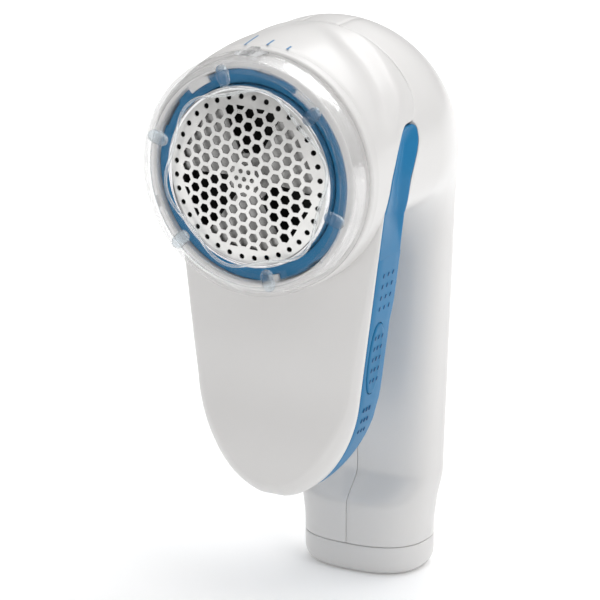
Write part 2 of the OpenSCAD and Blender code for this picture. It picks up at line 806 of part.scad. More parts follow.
// Draws its children with their Z pointing out of the container's side at the pad
module at_pad(side, sink = 0) {
    translate([side * cover_w(pad_z), pad_y, pad_z]) rotate([0, side * (90 + pad_lean), 0])
        translate([0, 0, -sink]) children();
}

module lint_container() {
    color(blue) difference() {
        container_solid(0, cover_bottom + 0.9, container_top, container_front);
        container_solid(container_wall, cover_bottom + 3, container_top + 3,
            container_front + container_wall);
        translate([-14, -50, 88.5]) cube([28, 5, 20]);
        for (side = [-1, 1]) at_pad(side, 4) linear_extrude(6) polygon(oval(9.8, 3.6, 2.4, 32));
    }
    // Seats for the release springs, each on a rib to the back wall
    color(blue) for (side = [-1, 1]) at_pad(side, 7.5) {
        cylinder(r = 2.8, h = 0.8);
        translate([-1, 0, 0]) cube([2, 7.9, 0.8]);
    }
}

module release_pad(side) {
    color(blue) {
        at_pad(side, 1.6) linear_extrude(2) polygon(oval(9.5, 3.25, 2.4, 32));
        at_pad(side, 2.6) cylinder(r = 1.4, h = 1 + eps);
    }
}
module release_pad_left() release_pad(-1);
module release_pad_right() release_pad(1);

module release_spring(side) {
    color(steel) at_pad(side, 6.4) coil(2, 4.4, 4, 0.2);
}
module release_spring_left() release_spring(-1);
module release_spring_right() release_spring(1);

front_housing();
handle_left();
handle_right();
back_strip();
side_inlay_left();
side_inlay_right();
battery_cap();
cap_contact();
cap_coil();
battery_cells();
battery_tray();
top_contacts();
top_coil();
wire_red();
wire_black();
switch_body();
switch_pins();
switch_slider();
switch_knob();
case_screws();
motor_cradle();
motor_can();
motor_magnets();
motor_end_cap();
motor_terminals();
motor_screws();
armature();
motor_shaft();
shaft_bush();
chamber_floor();
lint_chute();
blade_carrier();
cutter_blades();
thrust_spring();
screen_foil();
screen_rim();
retaining_ring();
click_ring();
height_cap();
lint_container();
release_pad_left();
release_pad_right();
release_spring_left();
release_spring_right();
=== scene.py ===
import json
import math
import bpy
import bmesh
import numpy as np
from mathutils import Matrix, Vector


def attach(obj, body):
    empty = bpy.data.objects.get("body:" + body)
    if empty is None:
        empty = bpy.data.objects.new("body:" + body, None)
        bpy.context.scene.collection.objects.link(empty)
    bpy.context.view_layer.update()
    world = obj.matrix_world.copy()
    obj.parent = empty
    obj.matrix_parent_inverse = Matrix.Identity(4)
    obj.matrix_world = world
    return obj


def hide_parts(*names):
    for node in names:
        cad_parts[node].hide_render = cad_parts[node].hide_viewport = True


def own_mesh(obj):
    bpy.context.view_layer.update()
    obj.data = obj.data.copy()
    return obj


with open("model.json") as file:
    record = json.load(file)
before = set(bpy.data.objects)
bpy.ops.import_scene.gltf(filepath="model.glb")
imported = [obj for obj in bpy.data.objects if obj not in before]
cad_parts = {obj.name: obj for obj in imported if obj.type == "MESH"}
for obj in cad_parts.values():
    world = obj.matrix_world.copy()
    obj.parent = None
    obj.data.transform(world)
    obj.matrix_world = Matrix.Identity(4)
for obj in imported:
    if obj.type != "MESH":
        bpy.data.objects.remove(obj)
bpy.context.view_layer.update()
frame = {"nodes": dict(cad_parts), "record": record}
nodes = frame["nodes"]
MM = 0.001
HEAD_Z = 120.0      # height of the head's axis, in mm

# ---- Materials ---------------------------------------------------------------------


class Mat:
    """A node material with one Principled shader and short ways to add noise to it."""

    def __init__(self, name, color, rough, **sockets):
        self.m = bpy.data.materials.new(name)
        self.m.use_nodes = True
        self.t = self.m.node_tree
        self.p = self.t.nodes["Principled BSDF"]
        self.p.inputs["Base Color"].default_value = (*color, 1)
        self.p.inputs["Roughness"].default_value = rough
        for k, v in sockets.items():
            self.p.inputs[k.replace("_", " ")].default_value = v
        self.height = None
        self.coord = self.t.nodes.new("ShaderNodeTexCoord").outputs["Object"]

    def node(self, kind, **inputs):
        n = self.t.nodes.new(kind)
        for k, v in inputs.items():
            key = k.replace("_", " ")
            if hasattr(v, "links"):
                self.t.links.new(v, n.inputs[key])
            else:
                n.inputs[key].default_value = v
        return n

    def noise(self, scale, detail=3.0, rough=0.5, stretch=None, distortion=0.0):
        v = self.coord
        if stretch:
            mp = self.t.nodes.new("ShaderNodeMapping")
            mp.inputs["Scale"].default_value = stretch
            self.t.links.new(v, mp.inputs["Vector"])
            v = mp.outputs["Vector"]
        n = self.node("ShaderNodeTexNoise", Vector=v, Scale=scale, Detail=detail, Roughness=rough,
                      Distortion=distortion)
        return n.outputs["Fac"]

    def ramp(self, fac, stops):
        n = self.t.nodes.new("ShaderNodeValToRGB")
        self.t.links.new(fac, n.inputs["Fac"])
        while len(n.color_ramp.elements) < len(stops):
            n.color_ramp.elements.new(0.5)
        for e, (at, c) in zip(n.color_ramp.elements, stops):
            e.position = at
            e.color = (*c, 1) if len(c) == 3 else c
        return n.outputs["Color"]

    def scale(self, fac, low, high):
        n = self.t.nodes.new("ShaderNodeMapRange")
        self.t.links.new(fac, n.inputs["Value"])
        n.inputs["From Min"].default_value = 0.3
        n.inputs["From Max"].default_value = 0.7
        n.inputs["To Min"].default_value = low
        n.inputs["To Max"].default_value = high
        return n.outputs["Result"]

    def vary_color(self, fac, dark, light):
        c = self.ramp(fac, [(0.35, dark), (0.65, light)])
        self.t.links.new(c, self.p.inputs["Base Color"])
        return self

    def vary_rough(self, fac, low, high):
        self.t.links.new(self.scale(fac, low, high), self.p.inputs["Roughness"])
        return self

    def bump(self, fac, distance, strength=1.0):
        n = self.node("ShaderNodeBump", Height=fac, Strength=strength, Distance=distance)
        if self.height is not None:
            self.t.links.new(self.height, n.inputs["Normal"])
        self.height = n.outputs["Normal"]
        self.t.links.new(self.height, self.p.inputs["Normal"])
        return self


def plastic(name, base, rough, spread=0.02, grain=0.00001, **kw):
    m = Mat(name, base, rough, **kw)
    dark = tuple(c * (1 - spread) for c in base)
    light = tuple(min(1, c * (1 + spread)) for c in base)
    m.vary_color(m.noise(38, 4, 0.6), dark, light)
    m.vary_rough(m.noise(70, 3, 0.5), rough - 0.015, rough + 0.02)
    m.bump(m.noise(1100, 2, 0.5), grain, 0.08)
    m.bump(m.noise(30, 1, 0.4), grain * 2, 0.1)
    return m.m


def metal(name, base, rough, brush=None, **kw):
    m = Mat(name, base, rough, Metallic=1.0, **kw)
    m.vary_color(m.noise(120, 5, 0.6), tuple(c * 0.92 for c in base), base)
    m.vary_rough(m.noise(300, 5, 0.6), rough * 0.75, rough * 1.3)
    m.bump(m.noise(3500 if brush is None else 700, 3, 0.6, brush), 0.000008, 0.4)
    return m.m


M = {}
M["white"] = plastic("abs_white", (0.695, 0.685, 0.676), 0.3, 0.004, 0.000008, Coat_Weight=0.2,
                     Coat_Roughness=0.15, IOR=1.5)
M["blue"] = plastic("abs_blue", (0.010, 0.170, 0.365), 0.38, 0.05, 0.000012, IOR=1.5,
                    Specular_IOR_Level=0.3)
M["blue_pad"] = plastic("pad_blue", (0.012, 0.165, 0.35), 0.46, 0.05, 0.00002,
                        Specular_IOR_Level=0.3)
# Painted shade: the grip marks get a darker blue than the container, standing in for the shade
# along each raised mark.
M["blue_mark_painted_shade"] = plastic("mark_blue_painted_shade", (0.018, 0.10, 0.235), 0.42, 0.05, 0.00001)
M["ink"] = plastic("ink_blue", (0.10, 0.25, 0.44), 0.5, 0.06, 0.00001)
M["inner_white"] = plastic("moulding_white", (0.72, 0.72, 0.70), 0.5, 0.03, 0.00002)
M["black_plastic"] = plastic("moulding_black", (0.012, 0.011, 0.011), 0.6, 0.1, 0.00002)
M["cell"] = plastic("cell_sleeve", (0.05, 0.055, 0.06), 0.3, 0.1, 0.00001)
M["wire_red"] = plastic("pvc_red", (0.5, 0.03, 0.025), 0.45, 0.06, 0.00001)
M["wire_black"] = plastic("pvc_black", (0.02, 0.02, 0.02), 0.45, 0.06, 0.00001)
M["ferrite"] = plastic("ferrite", (0.06, 0.06, 0.065), 0.65, 0.15, 0.00003)
M["chrome"] = metal("chrome", (0.78, 0.78, 0.79), 0.09)
M["screen"] = metal("nickel_foil", (0.74, 0.735, 0.72), 0.34)
M["steel"] = metal("steel", (0.47, 0.465, 0.46), 0.5, (1, 1, 8))
M["nickel"] = metal("nickel", (0.66, 0.63, 0.57), 0.3)
M["brass"] = metal("brass", (0.72, 0.52, 0.24), 0.28)
M["copper"] = metal("copper", (0.62, 0.27, 0.13), 0.3, (1, 12, 1))


def clear_plastic(name, color, rough, trans, alpha):
    m = Mat(name, color, rough, IOR=1.46, Transmission_Weight=trans, Alpha=alpha)
    m.vary_rough(m.noise(140, 5, 0.6), rough * 0.6, rough * 1.7)
    m.bump(m.noise(45, 2, 0.4), 0.00003, 0.3)
    return m.m


M["clear"] = clear_plastic("polycarbonate_clear", (0.99, 0.995, 1.0), 0.03, 1.0, 0.34)
M["clear_face"] = clear_plastic("polycarbonate_face", (0.99, 0.995, 1.0), 0.03, 1.0, 0.07)
M["clear_nub"] = clear_plastic("polycarbonate_nub", (0.74, 0.86, 0.94), 0.05, 1.0, 0.5)
M["clear_block"] = clear_plastic("polycarbonate_block", (0.97, 0.98, 0.99), 0.04, 1.0, 0.9)
M["clear_edge"] = clear_plastic("polycarbonate_edge", (0.93, 0.96, 0.97), 0.14, 0.7, 0.6)

for sub in frame["record"]["subparts"]:
    ob = nodes[sub["node"]]
    ob.data.materials.clear()
    ob.data.materials.append(M[sub["material_slot"]])
    for poly in ob.data.polygons:
        poly.material_index = 0

# ---- Mesh helpers (all lengths in mm until a mesh is made) --------------------------


def lerp(a, b, t):
    return a + (b - a) * t


def ease(t):
    t = min(1.0, max(0.0, t))
    return t * t * (3 - 2 * t)


def spow(c, n):
    return math.copysign(abs(c) ** (2.0 / n), c)


def smooth_table(points):
    """A smooth curve through [key, value] points with rising keys, with no overshoot."""
    x = np.array([p[0] for p in points], float)
    y = np.array([p[1] for p in points], float)
    h = np.diff(x)
    d = np.diff(y) / h
    m = np.zeros(len(x))
    for i in range(1, len(x) - 1):
        if d[i - 1] * d[i] > 0:
            w1, w2 = 2 * h[i] + h[i - 1], h[i] + 2 * h[i - 1]
            m[i] = (w1 + w2) / (w1 / d[i - 1] + w2 / d[i])
    m[0], m[-1] = d[0], d[-1]

    def f(v):
        if v <= x[0]:
            return float(y[0])
        if v >= x[-1]:
            return float(y[-1])
        i = int(np.searchsorted(x, v) - 1)
        t = (v - x[i]) / h[i]
        a, b = t * t * (3 - 2 * t), t * (1 - t)
        return float(y[i] * (1 - a) + y[i + 1] * a + h[i] * b * (m[i] * (1 - t) - m[i + 1] * t))

    return f


def make(name, verts, faces, mat, body, stands_for=(), angle=40, weld=0.004):
    me = bpy.data.meshes.new(name)
    me.from_pydata([(v[0] * MM, v[1] * MM, v[2] * MM) for v in verts], [], faces)
    bm = bmesh.new()
    bm.from_mesh(me)
    if weld:
        bmesh.ops.remove_doubles(bm, verts=bm.verts, dist=weld * MM)
    bmesh.ops.dissolve_degenerate(bm, dist=0.0005 * MM, edges=bm.edges)
    bmesh.ops.delete(bm, geom=[v for v in bm.verts if not v.link_faces], context="VERTS")
    bmesh.ops.recalc_face_normals(bm, faces=bm.faces)
    bm.to_mesh(me)
    bm.free()
    me.materials.append(M[mat])
    ob = bpy.data.objects.new(name, me)
    bpy.context.scene.collection.objects.link(ob)
    shade(ob, angle)
    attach(ob, body)
    if stands_for:
        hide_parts(*stands_for)
    return ob


def shade(ob, angle):
    me = ob.data
    me.polygons.foreach_set("use_smooth", [True] * len(me.polygons))
    bm = bmesh.new()
    bm.from_mesh(me)
    limit = math.radians(angle)
    for e in bm.edges:
        e.smooth = not (len(e.link_faces) == 2 and e.calc_face_angle(0) > limit)
    bm.to_mesh(me)
    bm.free()


def loft(rings, cap0=False, cap1=False, loop=False):
    """Quads between closed rings of equal length. loop joins the last ring to the first, and
    cap0 and cap1 close the first and the last ring."""
    n = len(rings[0])
    verts = [p for r in rings for p in r]
    faces = []
    m = len(rings)
    for j in range(m if loop else m - 1):
        a0, b0 = j * n, ((j + 1) % m) * n
        for i in range(n):
            k = (i + 1) % n
            faces.append((a0 + i, a0 + k, b0 + k, b0 + i))
    if cap0:
        faces.append(tuple(range(n - 1, -1, -1)))
    if cap1:
        faces.append(tuple(range((m - 1) * n, m * n)))
    return verts, faces


def joined(shapes):
    """Several (vertices, faces) shapes as one."""
    v, f = [], []
    for a, b in shapes:
        f += [tuple(i + len(v) for i in q) for q in b]
        v += a
    return v, f


def around(r, deg, y):
    a = math.radians(deg)
    return (r * math.cos(a), y, HEAD_Z + r * math.sin(a))


def turned(profile, n=192, start=0.0, sweep=360.0):
    """A profile of (radius, y) points turned about the head's axis."""
    full = abs(sweep - 360) < 1e-6
    rings = [[around(r, start + sweep * i / n, y) for r, y in profile]
             for i in range(n if full else n + 1)]
    return loft(rings, loop=full, cap0=not full, cap1=not full)


def rounded(points, radii, steps=5):
    """A closed or open outline with its corners rounded by the given radii."""
    out = []
    n = len(points)
    for i, (p, r) in enumerate(zip(points, radii)):
        p = np.array(p, float)
        if r <= 0:
            out.append(tuple(p))
            continue
        a = np.array(points[i - 1], float) - p
        b = np.array(points[(i + 1) % n], float) - p
        la, lb = np.linalg.norm(a), np.linalg.norm(b)
        a, b = a / la, b / lb
        half = math.acos(max(-1, min(1, float(a @ b)))) / 2
        if half > math.pi / 2 - 0.02:
            out.append(tuple(p))
            continue
        t = min(r / math.tan(half), la * 0.49, lb * 0.49)
        rr = t * math.tan(half)
        centre = p + (a + b) / np.linalg.norm(a + b) * (rr / math.sin(half))
        u, v = p + a * t - centre, p + b * t - centre
        ang = math.acos(max(-1, min(1, float(u @ v) / (rr * rr))))
        for k in range(steps + 1):
            s = k / steps
            w = (math.sin((1 - s) * ang) * u + math.sin(s * ang) * v) / math.sin(ang)
            out.append(tuple(centre + w))
    return out


def boolean(ob, verts, faces):
    """Cuts the given closed shape out of ob."""
    me = bpy.data.meshes.new("cutter_tool")
    me.from_pydata([(v[0] * MM, v[1] * MM, v[2] * MM) for v in verts], [], faces)
    bm = bmesh.new()
    bm.from_mesh(me)
    bmesh.ops.remove_doubles(bm, verts=bm.verts, dist=1e-6)
    bmesh.ops.recalc_face_normals(bm, faces=bm.faces)
    bm.to_mesh(me)
    bm.free()
    tool = bpy.data.objects.new("cutter_tool", me)
    bpy.context.scene.collection.objects.link(tool)
    mod = ob.modifiers.new("cut", "BOOLEAN")
    mod.operation, mod.solver, mod.object = "DIFFERENCE", "EXACT", tool
    bpy.context.view_layer.update()
    done = bpy.data.meshes.new_from_object(ob.evaluated_get(bpy.context.evaluated_depsgraph_get()))
    ob.modifiers.clear()
    old = ob.data
    ob.data = done
    bpy.data.meshes.remove(old)
    bpy.data.objects.remove(tool)


def block(x0, x1, y0, y1, z0, z1, r=0.0, steps=3):
    """A box whose upright edges are rounded by r."""
    ring = rounded([(x0, y0), (x1, y0), (x1, y1), (x0, y1)], [r] * 4, steps)
    rings = [[(x, y, z) for x, y in ring] for z in (z0, z1)]
    return loft(rings, cap0=True, cap1=True)


# ---- Sizes shared with the CAD part --------------------------------------------------

SCREEN_Y = -63.8
NOSE_FRONT, BARREL_FRONT, FLOOR_Y = SCREEN_Y + 1.4, SCREEN_Y + 7.6, SCREEN_Y + 9.7
COVER_BACK = SCREEN_Y + 16
BARREL_BACK = SCREEN_Y + 36.3
BARREL_R, BARREL_GROW, BARREL_CROWN = 31.0, 0.7, 0.95
NOSE_R, NOSE_BORE = 29.2, 27.2
DOME_R = 32.3
FAN_Y, FAN_Z, GAP_TOP, BACK_Y = -21.5, 86.0, 100.5, 13.0
COVER_ROUND, COVER_BOTTOM = 60.0, 33.3
CAP_H = 8.2
BASE_W, BASE_D = 17.2, 13.1
STRIP_W = 5.1
SEAM = 0.07


def round_end(z):
    t = min(1.0, max(0.0, (COVER_ROUND - z) / (COVER_ROUND - COVER_BOTTOM)))
    return max(0.0, 1 - t ** 2.08) ** (1 / 2.08)


def cover_w(z):
    return (23 + 0.135 * (z - 60)) * round_end(z)


def cover_y(z):
    return SCREEN_Y + 12.9 + 0.05 * max(0.0, z - 72) - 3 * ease((66 - z) / 26)


front_seam = smooth_table([(20, COVER_BACK), (110, COVER_BACK), (118.2, -46.9), (124.4, -43.9),
                           (128.2, -41.1), (130.4, -38.9), (131.35, -37.1), (131.7, -33.5),
                           (134, -30.6), (138.2, -28.4), (145, -27.55), (160, -27.5)])
handle_seam = smooth_table([(90, -36.3), (108, -36.6), (117, -37.3), (121.4, -35.4),
                            (124.6, -33.4), (127.4, -32.1),
                            (129.4, -31.9), (130.6, -32.4), (131.3, -33.2), (131.7, -33.4),
                            (134, -30.5), (138.2, -28.3), (145, -27.45), (160, -27.4)])

# ---- Front housing: the barrel with its nose, and the long front cover ---------------

valley = smooth_table([(10, -46.5), (24, -43.6), (30, -42.9), (39.3, -41), (51.2, -38.7),
                       (64.8, -36), (81.6, -31.5), (100, -27.5)])
ridge = smooth_table([(10, -42.6), (25.4, -39.7), (35, -36.2), (46.7, -33.4), (61.5, -29.7),
                      (80, -26), (100, -23)])


def barrel_radius(deg, y):
    """The barrel's outer radius: a little crowned on top, with a soft curved step at each
    side that ends in a point."""
    t = min(1.0, max(0.0, (y - BARREL_FRONT) / (BARREL_BACK - BARREL_FRONT)))
    s = math.sin(math.radians(deg))
    r = BARREL_R + BARREL_GROW * t + BARREL_CROWN * 4 * t * (1 - t) * ease((s - 0.05) / 0.6)
    c = abs(math.cos(math.radians(deg)))
    side = math.degrees(math.atan2(s, c))
    if side > 12:
        v, k = valley(side), ridge(side)
        deep = 1.35 * ease((side - 14) / 20) * ease((91 - side) / 24)
        if y < v:
            r -= deep * math.exp(-((y - v) / 4.6) ** 2)
        else:
            u = (y - v) / max(0.5, k - v)
            r -= deep * (1 - ease(u)) - 0.22 * deep * math.exp(-((u - 1.15) / 0.4) ** 2)
    up = max(0.0, s)
    return r + 0.6 * up * up * ease(t * 1.3)


def front_housing():
    turns = set(np.round(np.linspace(-90, 270, 390, endpoint=False), 3))
    for a in np.linspace(16, 28, 130):
        turns |= {round(a, 3), round(180 - a, 3)}
    rings = []
    for deg in sorted(turns):
        y_end = -27.5
        for _ in range(8):
            y_end = front_seam(HEAD_Z + barrel_radius(deg, y_end) * math.sin(math.radians(deg)))
        y_end -= SEAM
        inner = BARREL_R - 2
        front = rounded([(NOSE_BORE, FLOOR_Y), (NOSE_BORE, NOSE_FRONT), (NOSE_R, NOSE_FRONT),
                         (NOSE_R, BARREL_FRONT), (BARREL_R, BARREL_FRONT),
                         (BARREL_R, BARREL_FRONT + 2.5)], [0, 0.35, 0.45, 0.2, 0.8, 0], 4)
        profile = list(front)
        start = BARREL_FRONT + 2.5
        for k in range(1, 30):
            y = lerp(start, y_end - 0.35, k / 29)
            profile.append((barrel_radius(deg, y), y))
        edge = barrel_radius(deg, y_end)
        profile += [(edge - 0.04, y_end - 0.16), (edge - 0.14, y_end - 0.05), (edge - 0.3, y_end),
                    (edge - 0.6, y_end), (edge - 0.6, y_end + 0.8), (inner, y_end + 0.8),
                    (inner, lerp(y_end, FLOOR_Y, 0.5)), (inner, FLOOR_Y)]
        rings.append([around(r, deg, y) for r, y in profile])
    return loft(rings, loop=True)


def cover_outline(s):
    """The cover's outline seen from the front: s 0 at the bottom tip, 1 at its top."""
    bottom = COVER_BOTTOM + 0.3
    if s < 0.5:
        a = s / 0.5 * math.pi / 2
        z = COVER_ROUND - (COVER_ROUND - bottom) * math.cos(a)
    else:
        z = lerp(COVER_ROUND, 117.5, (s - 0.5) / 0.5)
    return (cover_w(z) if s > 0 else 0.0), z


EDGE_TURN = 46


def front_cover():
    edge, wall, back = 3.6, 1.8, COVER_BACK - SEAM
    s0, c0 = math.sin(math.radians(EDGE_TURN)), math.cos(math.radians(EDGE_TURN))
    rings = []
    m = 150
    for j in range(m + 1):
        s = j / m
        x, z = cover_outline(s)
        x1, z1 = cover_outline(min(1, s + 0.004))
        x0, z0 = cover_outline(max(0, s - 0.004))
        dx, dz = x1 - x0, z1 - z0
        if s == 0:
            dx, dz = 1.0, 0.0
        ln = math.hypot(dx, dz)
        nx, nz = dz / ln, -dx / ln

        def at(inset, y):
            px = max(0.0, x - nx * inset)
            return px, y, z - nz * inset

        deep = cover_y(z)
        e = min(edge, max(0.3, (back - deep) * 0.62))
        half = []
        fx, _, fz = at(e, 0)
        front_y = cover_y(fz)
        cols = 14
        for k in range(cols):
            t = k / cols
            half.append((fx * t, front_y + 0.35 * (t * fx / 26) ** 2, fz))
        lift = 0.35 * (fx / 26) ** 2
        for k in range(11):
            a = math.radians(lerp(EDGE_TURN, 90, k / 10))
            half.append(at(e * (1 - (math.sin(a) - s0) / (1 - s0)),
                           front_y + lift + (e - lift) * (1 - math.cos(a) / c0)))
        for k in range(1, 6):
            half.append(at(0, lerp(front_y + e, back - 0.35, k / 5)))
        half += [at(0.05, back - 0.14), at(0.16, back - 0.04), at(0.32, back), at(wall, back)]
        ie = max(0.2, e - wall)
        half.append(at(wall, front_y + wall + ie))
        half.append(at(wall + ie * 0.3, front_y + wall + ie * 0.3))
        ix, _, iz = at(wall + ie, 0)
        for k in range(4):
            half.append((ix * (1 - k / 4), front_y + wall, iz))
        mirror = [(-p[0], p[1], p[2]) for p in half[1:]][::-1]
        rings.append(half + [(0.0, front_y + wall, iz)] + mirror)
    for j, r in enumerate(rings):
        for i, p in enumerate(r):
            if abs(p[0]) < 29.5 and p[2] > 85:
                top = HEAD_Z - math.sqrt(30.0 ** 2 - p[0] ** 2)
                if p[2] > top:
                    r[i] = (p[0], p[1], top)
    return loft(rings)


v, f = joined([front_housing(), front_cover()])
make("front_shell", v, f, "white", "shell", ["front_housing"], angle=27)

# The lugs of the ring's bayonet stand inwards from the nose
for i, (deg, half) in enumerate(((54, 7), (125, 7), (284, 3))):
    y0 = NOSE_FRONT + 0.55
    prof = rounded([(25.25, y0), (28.1, y0), (28.1, y0 + 0.65), (25.25, y0 + 0.65)],
                   [0.2, 0.1, 0.1, 0.2], 3)
    v, f = turned(prof, 20, deg - half, 2 * half)
    make("bayonet_lug_%d" % (i + 1), v, f, "white", "shell", angle=50)

# ---- Handle halves -------------------------------------------------------------------


def back_line(s):
    if s < 0:
        return BACK_Y, lerp(112.0, FAN_Z, -s)
    a = math.radians(90 * s)
    return (FAN_Y + (BACK_Y - FAN_Y) * spow(math.cos(a), 1.96),
            112.0 + (HEAD_Z + DOME_R - 112.0) * spow(math.sin(a), 1.96))


def grip_section(z):
    """A section of the straight grip: origin, direction of v, v at the front, at the widest
    place and at the back, half width, and the powers of the front and back curves."""
    flare = ease((27.8 - z) / 9)
    up = min(1, max(0, (z - 30) / (FAN_Z - 30)))
    half_width = lerp(lerp(18.8, 21, up), BASE_W, ease((25 - z) / 15))
    front_power = lerp(lerp(3.6, 3.0, ease((z - 45) / 41)), 2.5, flare)
    return [(0, 0, z), (1, 0), lerp(-7, -BASE_D, flare), lerp(4, 0, flare), BACK_Y + 0.1 * flare,
            half_width, front_power, 2.5]


def fan_section(s):
    """A section of the bend, which turns about (FAN_Y, FAN_Z), in the same form."""
    oy, oz = back_line(s)
    d = (oy - FAN_Y, oz - FAN_Z)
    reach = math.hypot(*d)
    turn = math.degrees(math.atan2(d[1], d[0])) / 90
    k = ease(turn * 1.05 - 0.02)
    half_width = lerp(lerp(21, 22.3, ease(turn * 2.4)), BARREL_R + BARREL_GROW,
                      ease((turn - 0.27) / 0.73))
    return [(0, FAN_Y, FAN_Z), (d[0] / reach, d[1] / reach), GAP_TOP - FAN_Z,
            lerp(4 - FAN_Y, HEAD_Z - FAN_Z, k), reach, half_width,
            lerp(3.0, 2.3, ease(turn * 1.4)), lerp(2.5, 2, ease(turn * 1.3))]


def section_point(c, deg, inset):
    a = math.radians(deg)
    n = c[7] if deg >= 0 else c[6]
    v = (c[4] - c[3] if deg >= 0 else c[3] - c[2]) - inset
    return (c[5] - inset) * spow(math.cos(a), n), c[3] + v * spow(math.sin(a), n)


def groove_angle(c, w=STRIP_W + 0.07):
    return math.degrees(math.acos((w / c[5]) ** (c[7] / 2)))


def place(c, p):
    return (p[0], c[0][1] + p[1] * c[1][0], c[0][2] + p[1] * c[1][1])


def half_section(c, side, steps=44):
    """One half of a section's outline, with close points where the side opening's edge runs."""
    g = groove_angle(c)
    edge = section_point(c, g, 0)
    deep = 1.45
    path = [(0.04, edge[1] - deep), (edge[0] - 0.02, edge[1] - deep)]
    path += [(edge[0], edge[1] - 0.35), (edge[0] + 0.06, edge[1] - 0.12)]
    turns = list(np.linspace(g - 0.45, 30, 16, endpoint=False))
    turns += list(np.linspace(30, -14, 100, endpoint=False)) + list(np.linspace(-14, -89.75, 24))
    for deg in turns:
        path.append(section_point(c, deg, 0))
    last = path[-1]
    path[-1] = (SEAM + 0.12, last[1] + 0.02)
    path.append((SEAM + 0.03, last[1] + 0.08))
    path.append((SEAM, last[1] + 0.2))
    path.append((SEAM, last[1] + 1.6))
    for i in range(steps // 2 + 1):
        deg = lerp(-85, g - 9, i / (steps // 2))
        p = section_point(c, deg, 1.6)
        path.append((p[0], min(p[1], edge[1] - deep - 1.3)))
    path += [(edge[0] + 0.6, edge[1] - deep - 1.3), (0.04, edge[1] - deep - 1.3)]
    return [place(c, (side * max(p[0], 0.04), p[1])) for p in path]


def handle_stations():
    zs = [CAP_H + 0.11, CAP_H + 0.24, CAP_H + 0.5] + list(np.linspace(9.6, 19, 8))
    zs += list(np.linspace(19.8, 33, 20)) + list(np.linspace(34.5, FAN_Z - 1, 26))
    c = [grip_section(z) for z in zs]
    c += [fan_section(s) for s in np.linspace(-1, -0.08, 12)]
    c += [fan_section(s) for s in np.linspace(0, 1, 44)]
    return c


def handle_half(side):
    st = handle_stations()
    rings = [half_section(c, side) for c in st]
    for k, inset in enumerate((0.22, 0.05)):
        c = list(st[k])
        c[5] -= inset
        c[2] += inset
        c[4] -= inset
        rings[k] = half_section(c, side)
    last = rings[-1]
    tight = half_section(st[-1][:4] + [st[-1][4] - 0.16, st[-1][5] - 0.16] + st[-1][6:], side)
    for t, back, k in [(t, 0.0, 0.0) for t in np.linspace(0.12, 0.9, 8)] + [
            (1, 0.3, 0.0), (1, 0.1, 0.35), (1, 0, 1)]:
        ring = []
        for p, q in zip(last, tight):
            y = handle_seam(p[2])
            ring.append((lerp(p[0], q[0], k), lerp(p[1], y + SEAM, t) + back, lerp(p[2], q[2], k)))
        rings.append(ring)
    n = len(last)
    v, f = loft(rings)
    for start, flip in ((0, True), (len(rings) - 1, False)):
        base = start * n
        idx = [base + i for i in range(n)]
        lo, hi = 0, n - 1
        while hi - lo > 1:
            a, b = idx[lo], idx[hi]
            if hi - lo == 2:
                q = (a, idx[lo + 1], b)
                f.append(q[::-1] if flip else q)
                break
            q = (a, idx[lo + 1], idx[hi - 1], b)
            f.append(q[::-1] if flip else q)
            lo, hi = lo + 1, hi - 1
    return v, f


for side, label in ((-1, "left"), (1, "right")):
    v, f = handle_half(side)
    make("handle_shell_" + label, v, f, "white", "shell", ["handle_" + label], angle=35)

# ---- Back strip ----------------------------------------------------------------------


def strip_ring(c, drop=0.0):
    g = groove_angle(c, STRIP_W)
    e = section_point(c, g, 0)[1]
    out = []
    for x in np.linspace(-1, 1, 17):
        w = STRIP_W - 0.05
        rim = 0.25 * ease((abs(x) - 0.9) / 0.1)
        out.append((x * w, lerp(c[4], e, x * x) - rim - drop))
    out += [(STRIP_W - 0.05, e - 1.3), (-STRIP_W + 0.05, e - 1.3)]
    return [place(c, p) for p in out]


st = handle_stations()
nose = list(fan_section(1))
rings = [strip_ring(c) for c in st]
for yy in (-24.5, -27.1, -27.35):
    c = list(nose)
    c[0] = (0, yy, FAN_Z)
    rings.append(strip_ring(c, 0.2 if yy < -27.2 else 0))
v, f = loft(rings, cap0=True, cap1=True)
strip = make("back_spine", v, f, "white", "shell", ["back_strip"], angle=35)
v, f = block(-2.4, 2.4, 5, 20, 93.5, 111.5)
boolean(strip, v, f)
shade(strip, 35)

# ---- Side inlays ---------------------------------------------------------------------

inlay_back = smooth_table([(98.5, -36.45), (108, -36.7), (117, -37.4), (121.4, -35.45),
                           (124.6, -33.45), (127.4, -32.15), (129.2, -31.95), (129.8, -32.15),
                           (130.15, -32.6), (130.6, -33.4)])
inlay_front = smooth_table([(98.5, COVER_BACK), (110, COVER_BACK), (118.2, -46.9),
                            (124.4, -43.9), (128.2, -41.1), (129.6, -39.6), (130.1, -38.6),
                            (130.6, -37.6)])


def side_x(z, y):
    """Half the width of the white shells next to the inlay."""
    flat = cover_w(z)
    if z < 100:
        return flat
    r = BARREL_R + BARREL_GROW * min(1, (y - BARREL_FRONT) / (-36 - BARREL_FRONT)) + 0.04
    round_x = math.sqrt(max(0.0, r ** 2 - (z - HEAD_Z) ** 2))
    return max(flat, round_x) if z < HEAD_Z else round_x


